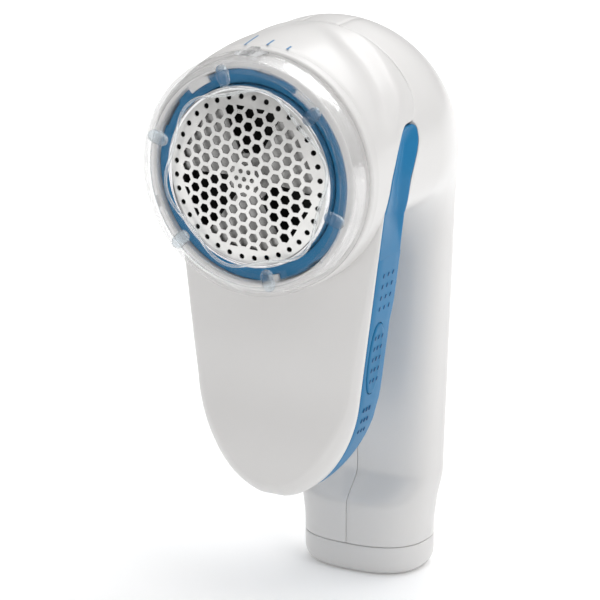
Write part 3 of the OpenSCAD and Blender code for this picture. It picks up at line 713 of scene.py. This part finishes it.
def side_inlay(side):
    rows = list(np.linspace(98.53, 128, 60)) + list(np.linspace(128.3, 129.9, 9))
    rows += [130.15, 130.3, 130.42, 130.52, 130.6]
    cols = 30
    outer, inner = [], []
    for z in rows:
        y0, y1 = inlay_front(z) + 0.02, inlay_back(z) - 0.02
        wide = max(0.02, y1 - y0)
        deep = 1.5 * ease((z - 99) / 13) * ease((131.4 - z) / 5) ** 0.6
        low = lerp(0.86, 0.5, ease((z - 103) / 22))
        a, b = [], []
        for i in range(cols + 1):
            u = 0.5 - 0.5 * math.cos(math.pi * i / cols)
            y = lerp(y0, y1, u)
            x = side_x(z, y) - 0.06 * ease((z - 98.5) / 3)
            c = u / low if u < low else (1 - u) / (1 - low)
            dip = deep * min(1, wide / 7) * (c * c * (3 - 2 * c) * 0.55 + 0.45 * c)
            edge = min(u, 1 - u) * wide
            lip = 0.14 * (1 - ease(edge / 0.35)) if edge < 0.35 else 0
            lip = max(lip, 0.25 * (1 - ease((130.6 - z) / 0.3)))
            a.append((side * (x - dip - lip), y, z))
            b.append((side * (x - 2.3), y, z))
        outer.append(a)
        inner.append(b[::-1])
    rings = [a + b for a, b in zip(outer, inner)]
    return loft(rings, cap0=True, cap1=True)


for side, label in ((-1, "left"), (1, "right")):
    v, f = side_inlay(side)
    make("inlay_" + label, v, f, "blue", "shell", ["side_inlay_" + label], angle=50, weld=0.002)

# ---- Lint container with its release pads ---------------------------------------------

CONT_FRONT, CONT_TOP, CONT_WALL = COVER_BACK + 0.12, 98.5, 1.4
PAD_LONG, PAD_WIDE, PAD_GAP = 9.5, 3.25, 0.25
PAD_Z, PAD_Y, LEAN = 71.5, -43.0, math.atan(0.135)


def container_back(z):
    return -34.3 + 0.9 * ease((z - 80) / 5) - 9 * (max(0.0, 65 - z) / 32) ** 2


def container_ring(z, inset, front, shrink=0.0):
    w = max(cover_w(z) - inset - shrink, 0.5)
    b = container_back(z) - inset - shrink
    f = front + shrink
    rx, ry = min(8, w * 0.7), min(3.4, max(0.2, (b - f) * 0.6))
    fr = min(0.3, w * 0.3)
    out = [(-w + fr, f), (w - fr, f), (w - 0.3 * fr, f + 0.3 * fr), (w, f + fr)]
    out += [(w, lerp(f + fr, b - ry, t)) for t in (0.25, 0.5, 0.75)]
    out += [(w - rx + rx * math.cos(math.radians(a)), b - ry + ry * math.sin(math.radians(a)))
            for a in np.linspace(0, 90, 13)]
    out += [(-w + rx + rx * math.cos(math.radians(a)), b - ry + ry * math.sin(math.radians(a)))
            for a in np.linspace(90, 180, 13)]
    out += [(-w, lerp(b - ry, f + fr, t)) for t in (0.25, 0.5, 0.75)]
    out += [(-w, f + fr), (-w + 0.3 * fr, f + 0.3 * fr)]
    return [(x, y, z) for x, y in out]


def cover_heights(low, high, n=34, m=16):
    zs = [low + (COVER_ROUND - low) * (1 - math.sqrt(max(0, 1 - t * t)))
          for t in np.linspace(0, 1, n, endpoint=False)]
    return zs + list(np.linspace(COVER_ROUND, high, m))


zs = cover_heights(COVER_BOTTOM + 0.9, CONT_TOP - 0.3)
rings = [container_ring(z, 0, CONT_FRONT) for z in zs]
rings.append(container_ring(CONT_TOP, 0, CONT_FRONT))
rings.append(container_ring(CONT_TOP, CONT_WALL, CONT_FRONT + CONT_WALL, -0.15))
for z in cover_heights(COVER_BOTTOM + 3, CONT_TOP - 0.2, 20, 8)[::-1]:
    rings.append(container_ring(z, CONT_WALL, CONT_FRONT + CONT_WALL))
v, f = loft(rings, cap0=True, cap1=True)
container = make("lint_box", v, f, "blue", "container", ["lint_container"], angle=40)
boolean(container, *block(-14, 14, -50, -44, 88.5, 110))


# The throat of the lint chute: a U-shaped wall under the head that the container closes over
rings = []
for z in (96.4, 96.6, 98.0, 104.0, 107.0):
    tip = 0.12 if z < 96.5 else 0.0
    outer = container_ring(z, CONT_WALL + 0.2 + tip, CONT_FRONT)[4:-2]
    inner = container_ring(z, CONT_WALL + 1.2 - tip, CONT_FRONT)[4:-2]
    rings.append(outer + inner[::-1])
v, f = loft(rings, cap0=True, cap1=True)
make("chute_throat", v, f, "white", "shell", angle=40)


def at_pad(side, p):
    """A point given as (up the wall, along Y, outwards) at the pad, in the row frame."""
    up, y, out = p
    c, s = math.cos(LEAN), math.sin(LEAN)
    x = cover_w(PAD_Z) + out * c + up * s
    return side * x, PAD_Y + y, PAD_Z + up * c - out * s


def oval(a, b, n=2.4, count=64):
    return [(a * spow(math.cos(t), n), b * spow(math.sin(t), n))
            for t in np.linspace(0, 2 * math.pi, count, endpoint=False)]


for side, label in ((-1, "left"), (1, "right")):
    ring = oval(PAD_LONG + PAD_GAP, PAD_WIDE + PAD_GAP)
    rr = [[at_pad(side, (u, y, h)) for u, y in ring] for h in (-4, 3)]
    boolean(container, *loft(rr, cap0=True, cap1=True))
    # The pad: a plate with a softly domed face that stands a little proud in its pocket
    prof = [(0, -1.5), (0, 0.02), (0.05, 0.14), (0.16, 0.24), (0.34, 0.3), (0.7, 0.33),
            (1.3, 0.3), (2.0, 0.27), (2.9, 0.25)]
    rr = []
    for inset, h in prof:
        rr.append([at_pad(side, (u * (PAD_LONG - inset) / PAD_LONG, y * (1 - inset / PAD_WIDE), h))
                   for u, y in oval(PAD_LONG, PAD_WIDE)])
    v, f = loft(rr, cap0=True, cap1=True)
    make("pad_face_" + label, v, f, "blue_pad", "pad_" + label, ["release_pad_" + label], angle=50)
shade(container, 40)


def dash(side, z, y, out, tall=0.62, wide=0.3, proud=0.24, slant=0.35):
    """One raised grip mark: a small pill with a rounded top, leaning as the marks do."""
    rings = []
    for lvl, k in ((-0.25, 1.0), (0.35, 1.0), (0.75, 0.82), (0.95, 0.5), (1.0, 0.15)):
        ring = []
        for a in np.linspace(0, 2 * math.pi, 14, endpoint=False):
            uu = tall * k * math.copysign(abs(math.cos(a)) ** 0.8, math.cos(a))
            vv = wide * k * math.copysign(abs(math.sin(a)) ** 0.8, math.sin(a))
            up = uu * math.cos(slant) - vv * math.sin(slant)
            yy = uu * math.sin(slant) + vv * math.cos(slant)
            x = out + lvl * proud
            ring.append((side * (x + up * math.sin(LEAN)), y + yy, z + up * math.cos(LEAN)))
        rings.append(ring)
    return loft(rings, cap0=True, cap1=True)


def dashes(side, rows, on_pad=False):
    lift = (0.3 if on_pad else 0.0) - 0.03
    return joined(dash(side, z, y, cover_w(z) + lift) for z, ys in rows for y in ys)


wide_rows = [(z, (-43.9, -41.5, -39.1)) for z in (93.6, 90.7, 87.7, 84.8)]
pad_rows = [(z, (-44.5, -42.75, -41.0)) for z in (77.2, 74.3, 71.4, 68.5, 65.6)]
low_rows = [(z, (-45.0, -43.5, -42.0)) for z in (57.9, 55.0, 52.1)]
for side, label in ((-1, "left"), (1, "right")):
    # The marks take the darker painted-shade blue.
    v, f = dashes(side, wide_rows + low_rows)
    make("grip_marks_" + label, v, f, "blue_mark_painted_shade", "container", angle=60, weld=0)
    v, f = dashes(side, pad_rows, True)
    make("pad_marks_" + label, v, f, "blue_mark_painted_shade", "pad_" + label, angle=60, weld=0)
    # The seat that each release spring pushes against, on its rib to the back wall
    rr = [[at_pad(side, (2.8 * math.cos(a), 2.8 * math.sin(a), h)) for a in
           np.linspace(0, 2 * math.pi, 28, endpoint=False)] for h in (-7.5, -7.4, -6.8, -6.7)]
    rr[0] = [tuple(np.array(p) * 0.97 + np.array(at_pad(side, (0, 0, -7.5))) * 0.03) for p in rr[0]]
    rib = [[at_pad(side, (u, y, h)) for u, y in ((-1, 0), (1, 0), (1, 8.0), (-1, 8.0))]
           for h in (-7.5, -6.7)]
    v, f = joined(loft(x, cap0=True, cap1=True) for x in (rr, rib))
    make("spring_seat_" + label, v, f, "blue", "container", weld=0)
    # The spring itself, which shortens as its pad is pressed
    rr = []
    for i in range(81):
        t = 2 * math.pi * i / 20
        ring = []
        for b in np.linspace(0, 2 * math.pi, 10, endpoint=False):
            r, h = 2 + 0.2 * math.cos(b), -6.4 + 4.4 * i / 80 + 0.2 * math.sin(b)
            ring.append(at_pad(side, (r * math.cos(t), r * math.sin(t), h)))
        rr.append(ring)
    v, f = loft(rr, cap0=True, cap1=True)
    spring = make("pad_spring_" + label, v, f, "steel", "container", ["release_spring_" + label])
    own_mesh(spring)

# ---- Height cap ------------------------------------------------------------------------

CAP_FRONT, CAP_BACK, CAP_R, PLATE = SCREEN_Y - 1.4, BARREL_FRONT - 0.7, 30.7, 0.85
BOSS_TURN = 44.0


def opening_radius(deg):
    """The wavy edge of the cap's front opening: six waves, narrow at each nub."""
    return 21.9 - 1.1 * math.cos(math.radians(6 * (deg - BOSS_TURN)))


rings = []
for i in range(720):
    deg = i / 2
    open_r = opening_radius(deg)
    ring = []
    start = open_r + 0.8
    for r in np.linspace(start, 27.9, 8):
        ring.append((float(r), CAP_FRONT))
    outer = rounded([(27.9, CAP_FRONT), (29.2, CAP_FRONT + 0.6), (30.3, CAP_FRONT + 1.6),
                     (CAP_R, CAP_FRONT + 2.9), (CAP_R, CAP_FRONT + 3.6)], [0, 1.4, 1.3, 1.5, 0], 4)
    ring += outer[1:]
    for y in np.linspace(CAP_FRONT + 3.9, CAP_BACK - 0.35, 16):
        ring.append((CAP_R, float(y)))
    ring += [(CAP_R - 0.12, CAP_BACK - 0.08), (CAP_R - 0.4, CAP_BACK),
             (NOSE_R + 0.45, CAP_BACK), (NOSE_R + 0.3, CAP_BACK - 0.3)]
    inner = rounded([(NOSE_R + 0.3, CAP_BACK - 0.3), (NOSE_R + 0.3, CAP_FRONT + 2.7),
                     (29.0, CAP_FRONT + 1.9), (27.7, CAP_FRONT + PLATE), (26, CAP_FRONT + PLATE)],
                    [0, 0.8, 0.8, 0.8, 0], 3)
    ring += inner[1:]
    for r in np.linspace(25.5, start, 6):
        ring.append((float(r), CAP_FRONT + PLATE))
    rings.append([around(r, deg, y) for r, y in ring])
v, f = loft(rings, loop=True)
cap = make("clear_cap", v, f, "clear", "cap", ["height_cap"], angle=60, weld=0.001)
cap.data.materials.append(M["clear_face"])
for poly in cap.data.polygons:
    c = poly.center / MM
    if math.hypot(c.x, c.z - HEAD_Z) < 28.2 and c.y < CAP_FRONT + PLATE + 0.05:
        poly.material_index = 1

# The rounded bead along the cap's wavy opening
rings = []
for i in range(540):
    deg = i / 1.5
    r0 = opening_radius(deg) + 0.42
    rings.append([around(r0 + 0.42 * math.cos(a), deg, CAP_FRONT + 0.33 + 0.37 * math.sin(a))
                  for a in np.linspace(0, 2 * math.pi, 18, endpoint=False)])
v, f = loft(rings, loop=True)
make("cap_bead", v, f, "clear_edge", "cap", angle=60)

# Six rounded grip nubs: short pins that lie along the radius, half sunk in the flange
for k in range(6):
    a = math.radians(BOSS_TURN + 60 * k)
    c, s = math.cos(a), math.sin(a)
    rings = []
    for u in np.linspace(-1, 1, 25):
        r = 1.72 * max(0.03, 1 - abs(u) ** 3.2) ** 0.5
        m = 26.05 + 2.85 * u
        ring = []
        for b in np.linspace(0, 2 * math.pi, 28, endpoint=False):
            w, h = r * math.cos(b), r * 0.86 * math.sin(b)
            ring.append((m * c - w * s, CAP_FRONT + 0.35 - max(h, -0.3 * r),
                         HEAD_Z + m * s + w * c))
        rings.append(ring)
    v, f = loft(rings, cap0=True, cap1=True)
    make("cap_nub_%d" % (k + 1), v, f, "clear_nub", "cap", angle=60)

# The raised pointer on the cap's skirt: a wedge with a fan of fine cross ribs beside it
def skirt_bar(deg, half, y0, y1, low, high):
    prof = rounded([(CAP_R - 0.2, y0), (CAP_R + low, y0), (CAP_R + high, y1), (CAP_R - 0.2, y1)],
                   [0, 0.15, 0.15, 0], 3)
    return turned(prof, 10, deg - half, 2 * half)


parts = [skirt_bar(92.5, 2.2, CAP_BACK - 6.4, CAP_BACK - 0.05, 0.3, 0.95)]
for k in range(5):
    y = CAP_BACK - 0.9 - 1.05 * k
    parts.append(skirt_bar(87.6, 2.6 - 0.25 * k, y - 0.5, y, 0.1, 0.42))
    parts.append(skirt_bar(97.2, 2.2 - 0.25 * k, y - 0.5, y, 0.1, 0.42))
v, f = joined(parts)
make("cap_pointer", v, f, "clear_block", "cap", angle=35, weld=0)

# ---- Retaining ring and chrome rim -------------------------------------------------------


def ring_outer(deg):
    r = 26.9
    for a, half in ((80, 7), (151, 7), (310, 3)):
        d = abs((deg - a + 180) % 360 - 180)
        r -= 0.6 * ease((half + 1.3 - d) / 0.7)
    return r


rings = []
for i in range(480):
    deg = i * 0.75
    out_r = ring_outer(deg)
    y0, y1 = SCREEN_Y + 2.8, SCREEN_Y + 5.4
    prof = rounded([(23.3, y1), (23.3, y0), (out_r, y0), (out_r, y1)], [0.15, 0.25, 0.35, 0.15], 4)
    rings.append([around(r, deg, y) for r, y in prof])
v, f = loft(rings, loop=True)
make("bayonet_ring", v, f, "blue", "ring", ["retaining_ring"], angle=50)

prof = rounded([(22.02, SCREEN_Y + 2.2), (22.02, SCREEN_Y + 0.3), (22.45, SCREEN_Y - 0.0),
                (23.1, SCREEN_Y + 0.3), (23.1, SCREEN_Y + 5.6), (25.4, SCREEN_Y + 5.6),
                (25.4, SCREEN_Y + 6.6), (22.1, SCREEN_Y + 6.6)],
               [0.1, 0.25, 0.5, 0.4, 0.2, 0.1, 0.1, 0.1], 5)
v, f = turned(prof, 256)
make("rim_chrome", v, f, "chrome", "shell", ["screen_rim"], angle=45)

# ---- Screen: a thin domed foil with its hexagonal holes ------------------------------------

PITCH, HOLE_W, FIELD_TURN, SCREEN_R, APEX = 3.3, 2.3, -3.25, 22.0, 1.73
RISE = APEX + 0.4
CURVE = (SCREEN_R ** 2 + RISE ** 2) / (2 * RISE)
FOIL = 0.3


def clip(poly, n, d):
    """The part of a convex outline where n.p <= d."""
    out = []
    for i, p in enumerate(poly):
        q = poly[(i + 1) % len(poly)]
        a, b = n[0] * p[0] + n[1] * p[1] - d, n[0] * q[0] + n[1] * q[1] - d
        if a <= 0:
            out.append(p)
        if a * b < 0:
            t = a / (a - b)
            out.append((p[0] + t * (q[0] - p[0]), p[1] + t * (q[1] - p[1])))
    return out


def circle(x, y, r, n, turn=0.0):
    turns = [turn + 2 * math.pi * k / n for k in range(n)]
    return [(x + r * math.cos(a), y + r * math.sin(a)) for a in turns]


def screen_holes():
    holes = []
    for i in range(-7, 8):
        for j in range(-8, 9):
            x, z = PITCH * i * math.cos(math.pi / 6), PITCH * (j + (abs(i) % 2) / 2)
            order = round((x * x + z * z) / PITCH ** 2)
            if not 1 <= order <= 31:
                continue
            cell = circle(x, z, HOLE_W / 2 / math.cos(math.pi / 6), 6)
            if order == 1:
                d = math.hypot(x, z)
                n = (-x / d, -z / d)
                for turn in (-0.42, -0.14, 0.14, 0.42):
                    m = (n[0] * math.cos(turn) - n[1] * math.sin(turn),
                         n[0] * math.sin(turn) + n[1] * math.cos(turn))
                    cell = clip(cell, m, -3.02)
            if order == 31:
                for k in range(6):
                    a = math.radians(90 + 60 * k)
                    cell = clip(cell, (math.cos(a), math.sin(a)), 18.05)
            holes.append(cell)
    for k in range(6):
        a = math.radians(60 * k)
        holes.append(circle(2.2 * math.cos(a), 2.2 * math.sin(a), 0.62, 18))
    holes.append(circle(0, 0, 0.62, 18))
    t = math.radians(FIELD_TURN)
    holes = [[(x * math.cos(t) - y * math.sin(t), x * math.sin(t) + y * math.cos(t))
              for x, y in h] for h in holes]
    for k in range(36):
        a = math.radians(10 * k + 5)
        holes.append(circle(20.46 * math.cos(a), 20.46 * math.sin(a), 0.7, 16))
    return holes


def soften(poly, r=0.16):
    """The outline with its sharp corners rounded, as etched holes have."""
    if len(poly) > 8:
        return poly
    return rounded(poly, [r] * len(poly), 2)


def foil_y(r, back=False):
    k = CURVE - (FOIL if back else 0)
    return SCREEN_Y - APEX + CURVE - math.sqrt(k * k - r * r)


def screen():
    from mathutils.geometry import delaunay_2d_cdt
    holes = [soften(h) for h in screen_holes()]
    points, edges = [], []
    for poly in [circle(0, 0, SCREEN_R, 144)] + holes:
        k = len(points)
        points += poly
        edges += [(k + i, k + (i + 1) % len(poly)) for i in range(len(poly))]
    for r in (19.2, 21.3):
        points += [p for p in circle(0, 0, r, 60, 0.05)
                   if all(math.hypot(p[0] - sum(q[0] for q in h) / len(h),
                                     p[1] - sum(q[1] for q in h) / len(h)) > 1.5 for h in holes)]
    vo, _, fo, *_ = delaunay_2d_cdt([Vector(p) for p in points], edges, [], 0, 1e-5)
    flat = [(p[0], p[1]) for p in vo]
    centres = [(sum(p[0] for p in h) / len(h), sum(p[1] for p in h) / len(h)) for h in holes]

    def inside(p, poly):
        hit = False
        for i, a in enumerate(poly):
            b = poly[i - 1]
            if (a[1] > p[1]) != (b[1] > p[1]):
                if p[0] < (b[0] - a[0]) * (p[1] - a[1]) / (b[1] - a[1]) + a[0]:
                    hit = not hit
        return hit

    keep = []
    for q in fo:
        c = (sum(flat[i][0] for i in q) / 3, sum(flat[i][1] for i in q) / 3)
        if math.hypot(*c) > SCREEN_R:
            continue
        if any(math.hypot(c[0] - h[0], c[1] - h[1]) < 1.4 and inside(c, holes[k])
               for k, h in enumerate(centres)):
            continue
        keep.append(q)
    n = len(flat)
    verts = [(x, foil_y(math.hypot(x, z)), HEAD_Z + z) for x, z in flat]
    verts += [(x, foil_y(math.hypot(x, z), True), HEAD_Z + z) for x, z in flat]
    faces = [tuple(q) for q in keep] + [tuple(i + n for i in q[::-1]) for q in keep]
    count = {}
    for q in keep:
        for i in range(3):
            a, b = q[i], q[(i + 1) % 3]
            count[(a, b)] = count.get((a, b), 0) + 1
    for a, b in list(count):
        if (b, a) not in count:
            faces.append((b, a, a + n, b + n))
    return verts, faces


v, f = screen()
make("screen_sheet", v, f, "screen", "shell", ["screen_foil"], angle=50, weld=0)

# ---- Battery cap --------------------------------------------------------------------------


def base_ring(inset, z, w=BASE_W, d=BASE_D, n=2.5):
    return [((w - inset) * spow(math.cos(t), n), (d - inset) * spow(math.sin(t), n), z)
            for t in np.linspace(0, 2 * math.pi, 128, endpoint=False)]


rings = [base_ring(4.4, 0.0), base_ring(3.7, 0.0)]
for a in np.linspace(4, 90, 16):
    s = math.sin(math.radians(a))
    c = math.cos(math.radians(a))
    rings.append(base_ring(3.7 - 3.6 * s ** 0.9 - 0.1, 4.3 * (1 - c)))
rings += [base_ring(0, z) for z in (5.2, 6.5, CAP_H - 0.3)]
rings += [base_ring(0.06, CAP_H - 0.12), base_ring(0.2, CAP_H - 0.03), base_ring(0.4, CAP_H),
          base_ring(2.2, CAP_H), base_ring(2.2, 3.4), base_ring(2.8, 2.5), base_ring(3.6, 2.2)]
v, f = loft(rings, cap0=True, cap1=True)
make("base_cap", v, f, "white", "battery_door", ["battery_cap"], angle=50)

# ---- Switch knob: a thumb pad with finger ridges, standing proud of the strip ----------------

KNOB_Z = 100.0
rings = []
for inset, y in ((0.3, 13.35), (0.05, 13.5), (0.0, 13.9), (0.0, 14.4), (0.15, 14.75), (0.45, 15.0),
                 (0.9, 15.12)):
    ring = []
    for t in np.linspace(0, 2 * math.pi, 96, endpoint=False):
        x = (4.2 - inset) * spow(math.cos(t), 4)
        z = (6.5 - inset) * spow(math.sin(t), 4)
        ring.append((x, y, KNOB_Z + z))
    rings.append(ring)
for k in np.linspace(0.86, 0.0, 22):
    ring = []
    for t in np.linspace(0, 2 * math.pi, 96, endpoint=False):
        x = 3.3 * spow(math.cos(t), 4) * k
        z = 5.6 * spow(math.sin(t), 4) * k
        ring.append((x, 15.14 - 0.35 * (1 - (z / 5.6) ** 2) * (1 - (x / 3.3) ** 2), KNOB_Z + z))
    rings.append(ring)
v, f = loft(rings, cap0=True)
make("thumb_pad", v, f, "blue", "switch", ["switch_knob"], angle=50)
ridges = []
for k in range(6):
    z = KNOB_Z - 4.2 + 1.68 * k
    rr = []
    for x in np.linspace(-2.9, 2.9, 17):
        top = 15.14 - 0.3 * (1 - ((z - KNOB_Z) / 5.6) ** 2) * (1 - (x / 3.3) ** 2)
        end = max(0.02, min(1, (2.9 - abs(x)) / 0.5)) ** 0.5
        rr.append([(x, top + 0.3 * end * math.sin(a) - 0.08, z + 0.34 * math.cos(a) * end)
                   for a in np.linspace(0, 2 * math.pi, 12, endpoint=False)])
    ridges.append(loft(rr, cap0=True, cap1=True))
v, f = joined(ridges)
make("thumb_ridges", v, f, "blue", "switch", angle=60, weld=0)

# ---- Printed marks: thin raised ink, as pad printing leaves it ---------------------------------


def tick(deg, y0, y1, width=0.55, thick=0.03, sunk=0.02):
    """One straight printed line along the barrel, as a thin raised bar."""
    rows = []
    for t in np.linspace(0, 1, 9):
        y = lerp(y0, y1, t)
        p = np.array(around(barrel_radius(deg, y), deg, y))
        n = np.array((math.cos(math.radians(deg)), 0.0, math.sin(math.radians(deg))))
        n = n / np.linalg.norm(n)
        across = np.cross(n, (0.0, 1.0, 0.0)) * (width / 2)
        rows.append([tuple(p - across - n * sunk), tuple(p - across + n * thick),
                     tuple(p + across + n * thick), tuple(p + across - n * sunk)])
    return loft(rows, cap0=True, cap1=True)


TICK_R = 31.2
ticks = ((-6.6, -53.6, -46.6), (-0.3, -53.6, -50.1), (5.3, -53.6, -51.5))
v, f = joined(tick(math.degrees(math.acos(x / TICK_R)), y0, y1) for x, y0, y1 in ticks)
make("height_ticks", v, f, "ink", "shell", angle=50, weld=0)

# ---- Stage: floor, light and camera ------------------------------------------------


def stage_material():
    m = Mat("floor_paper", (0.93, 0.93, 0.93), 0.75)
    m.vary_color(m.noise(4, 3, 0.5), (0.925, 0.925, 0.925), (0.935, 0.935, 0.935))
    m.bump(m.noise(900, 3, 0.5), 0.00002, 0.2)
    m.p.inputs["Emission Color"].default_value = (1, 1, 1, 1)
    far = m.node("ShaderNodeVectorMath", Vector=m.coord)
    far.operation = "LENGTH"
    glow = m.node("ShaderNodeMapRange", Value=far.outputs["Value"])
    for k, v in (("From Min", 0.06), ("From Max", 0.6), ("To Min", 0.1), ("To Max", 0.42)):
        glow.inputs[k].default_value = v
    m.t.links.new(glow.outputs["Result"], m.p.inputs["Emission Strength"])
    return m.m


me = bpy.data.meshes.new("floor")
me.from_pydata([(-4, -4, 0), (4, -4, 0), (4, 4, 0), (-4, 4, 0)], [], [(0, 1, 2, 3)])
me.materials.append(stage_material())
floor = bpy.data.objects.new("floor", me)
bpy.context.scene.collection.objects.link(floor)

scene = bpy.context.scene
world = bpy.data.worlds.new("world")
world.use_nodes = True
world.node_tree.nodes["Background"].inputs["Color"].default_value = (1, 1, 1, 1)
wt = world.node_tree
sky = wt.nodes.new("ShaderNodeSeparateXYZ")
up = wt.nodes.new("ShaderNodeMapRange")
wt.links.new(wt.nodes.new("ShaderNodeTexCoord").outputs["Generated"], sky.inputs["Vector"])
wt.links.new(sky.outputs["Z"], up.inputs["Value"])
for k, v in (("From Min", 0.0), ("From Max", 0.8), ("To Min", 0.14), ("To Max", 0.85)):
    up.inputs[k].default_value = v
wt.links.new(up.outputs["Result"], wt.nodes["Background"].inputs["Strength"])
scene.world = world
scene.view_settings.view_transform = "Standard"
scene.view_settings.look = "None"


def area_light(name, place, target, size, power):
    data = bpy.data.lights.new(name, "AREA")
    data.shape = "RECTANGLE"
    data.size, data.size_y = size
    data.energy = power
    ob = bpy.data.objects.new(name, data)
    ob.location = place
    ob.rotation_euler = (Vector(target) - Vector(place)).to_track_quat("-Z", "Y").to_euler()
    scene.collection.objects.link(ob)


area_light("key", (-0.55, -0.75, 0.75), (0, -0.02, 0.09), (0.6, 0.6), 0.4)
area_light("fill", (0.75, -0.38, 0.95), (0, -0.01, 0.06), (0.5, 0.5), 1.7)
area_light("top", (0.12, 0.42, 1.02), (0, 0, 0.08), (0.9, 0.9), 6.0)
area_light("side", (1.0, -0.05, 0.45), (0, 0, 0.08), (0.5, 0.8), 0.75)

CAMERA_AT = (0.4994, -0.9189, 0.3871)
CAMERA_TURN, CAMERA_TILT = math.radians(29.54), math.radians(16.777)
cam_data = bpy.data.cameras.new("camera")
cam_data.lens = 250
cam_data.sensor_width = 36
cam_data.clip_end = 20
cam = bpy.data.objects.new("camera", cam_data)
cam.location = CAMERA_AT
az, el = CAMERA_TURN, CAMERA_TILT
look = Vector((-math.sin(az) * math.cos(el), math.cos(az) * math.cos(el), -math.sin(el)))
cam.rotation_euler = look.to_track_quat("-Z", "Y").to_euler()
scene.collection.objects.link(cam)
scene.camera = cam
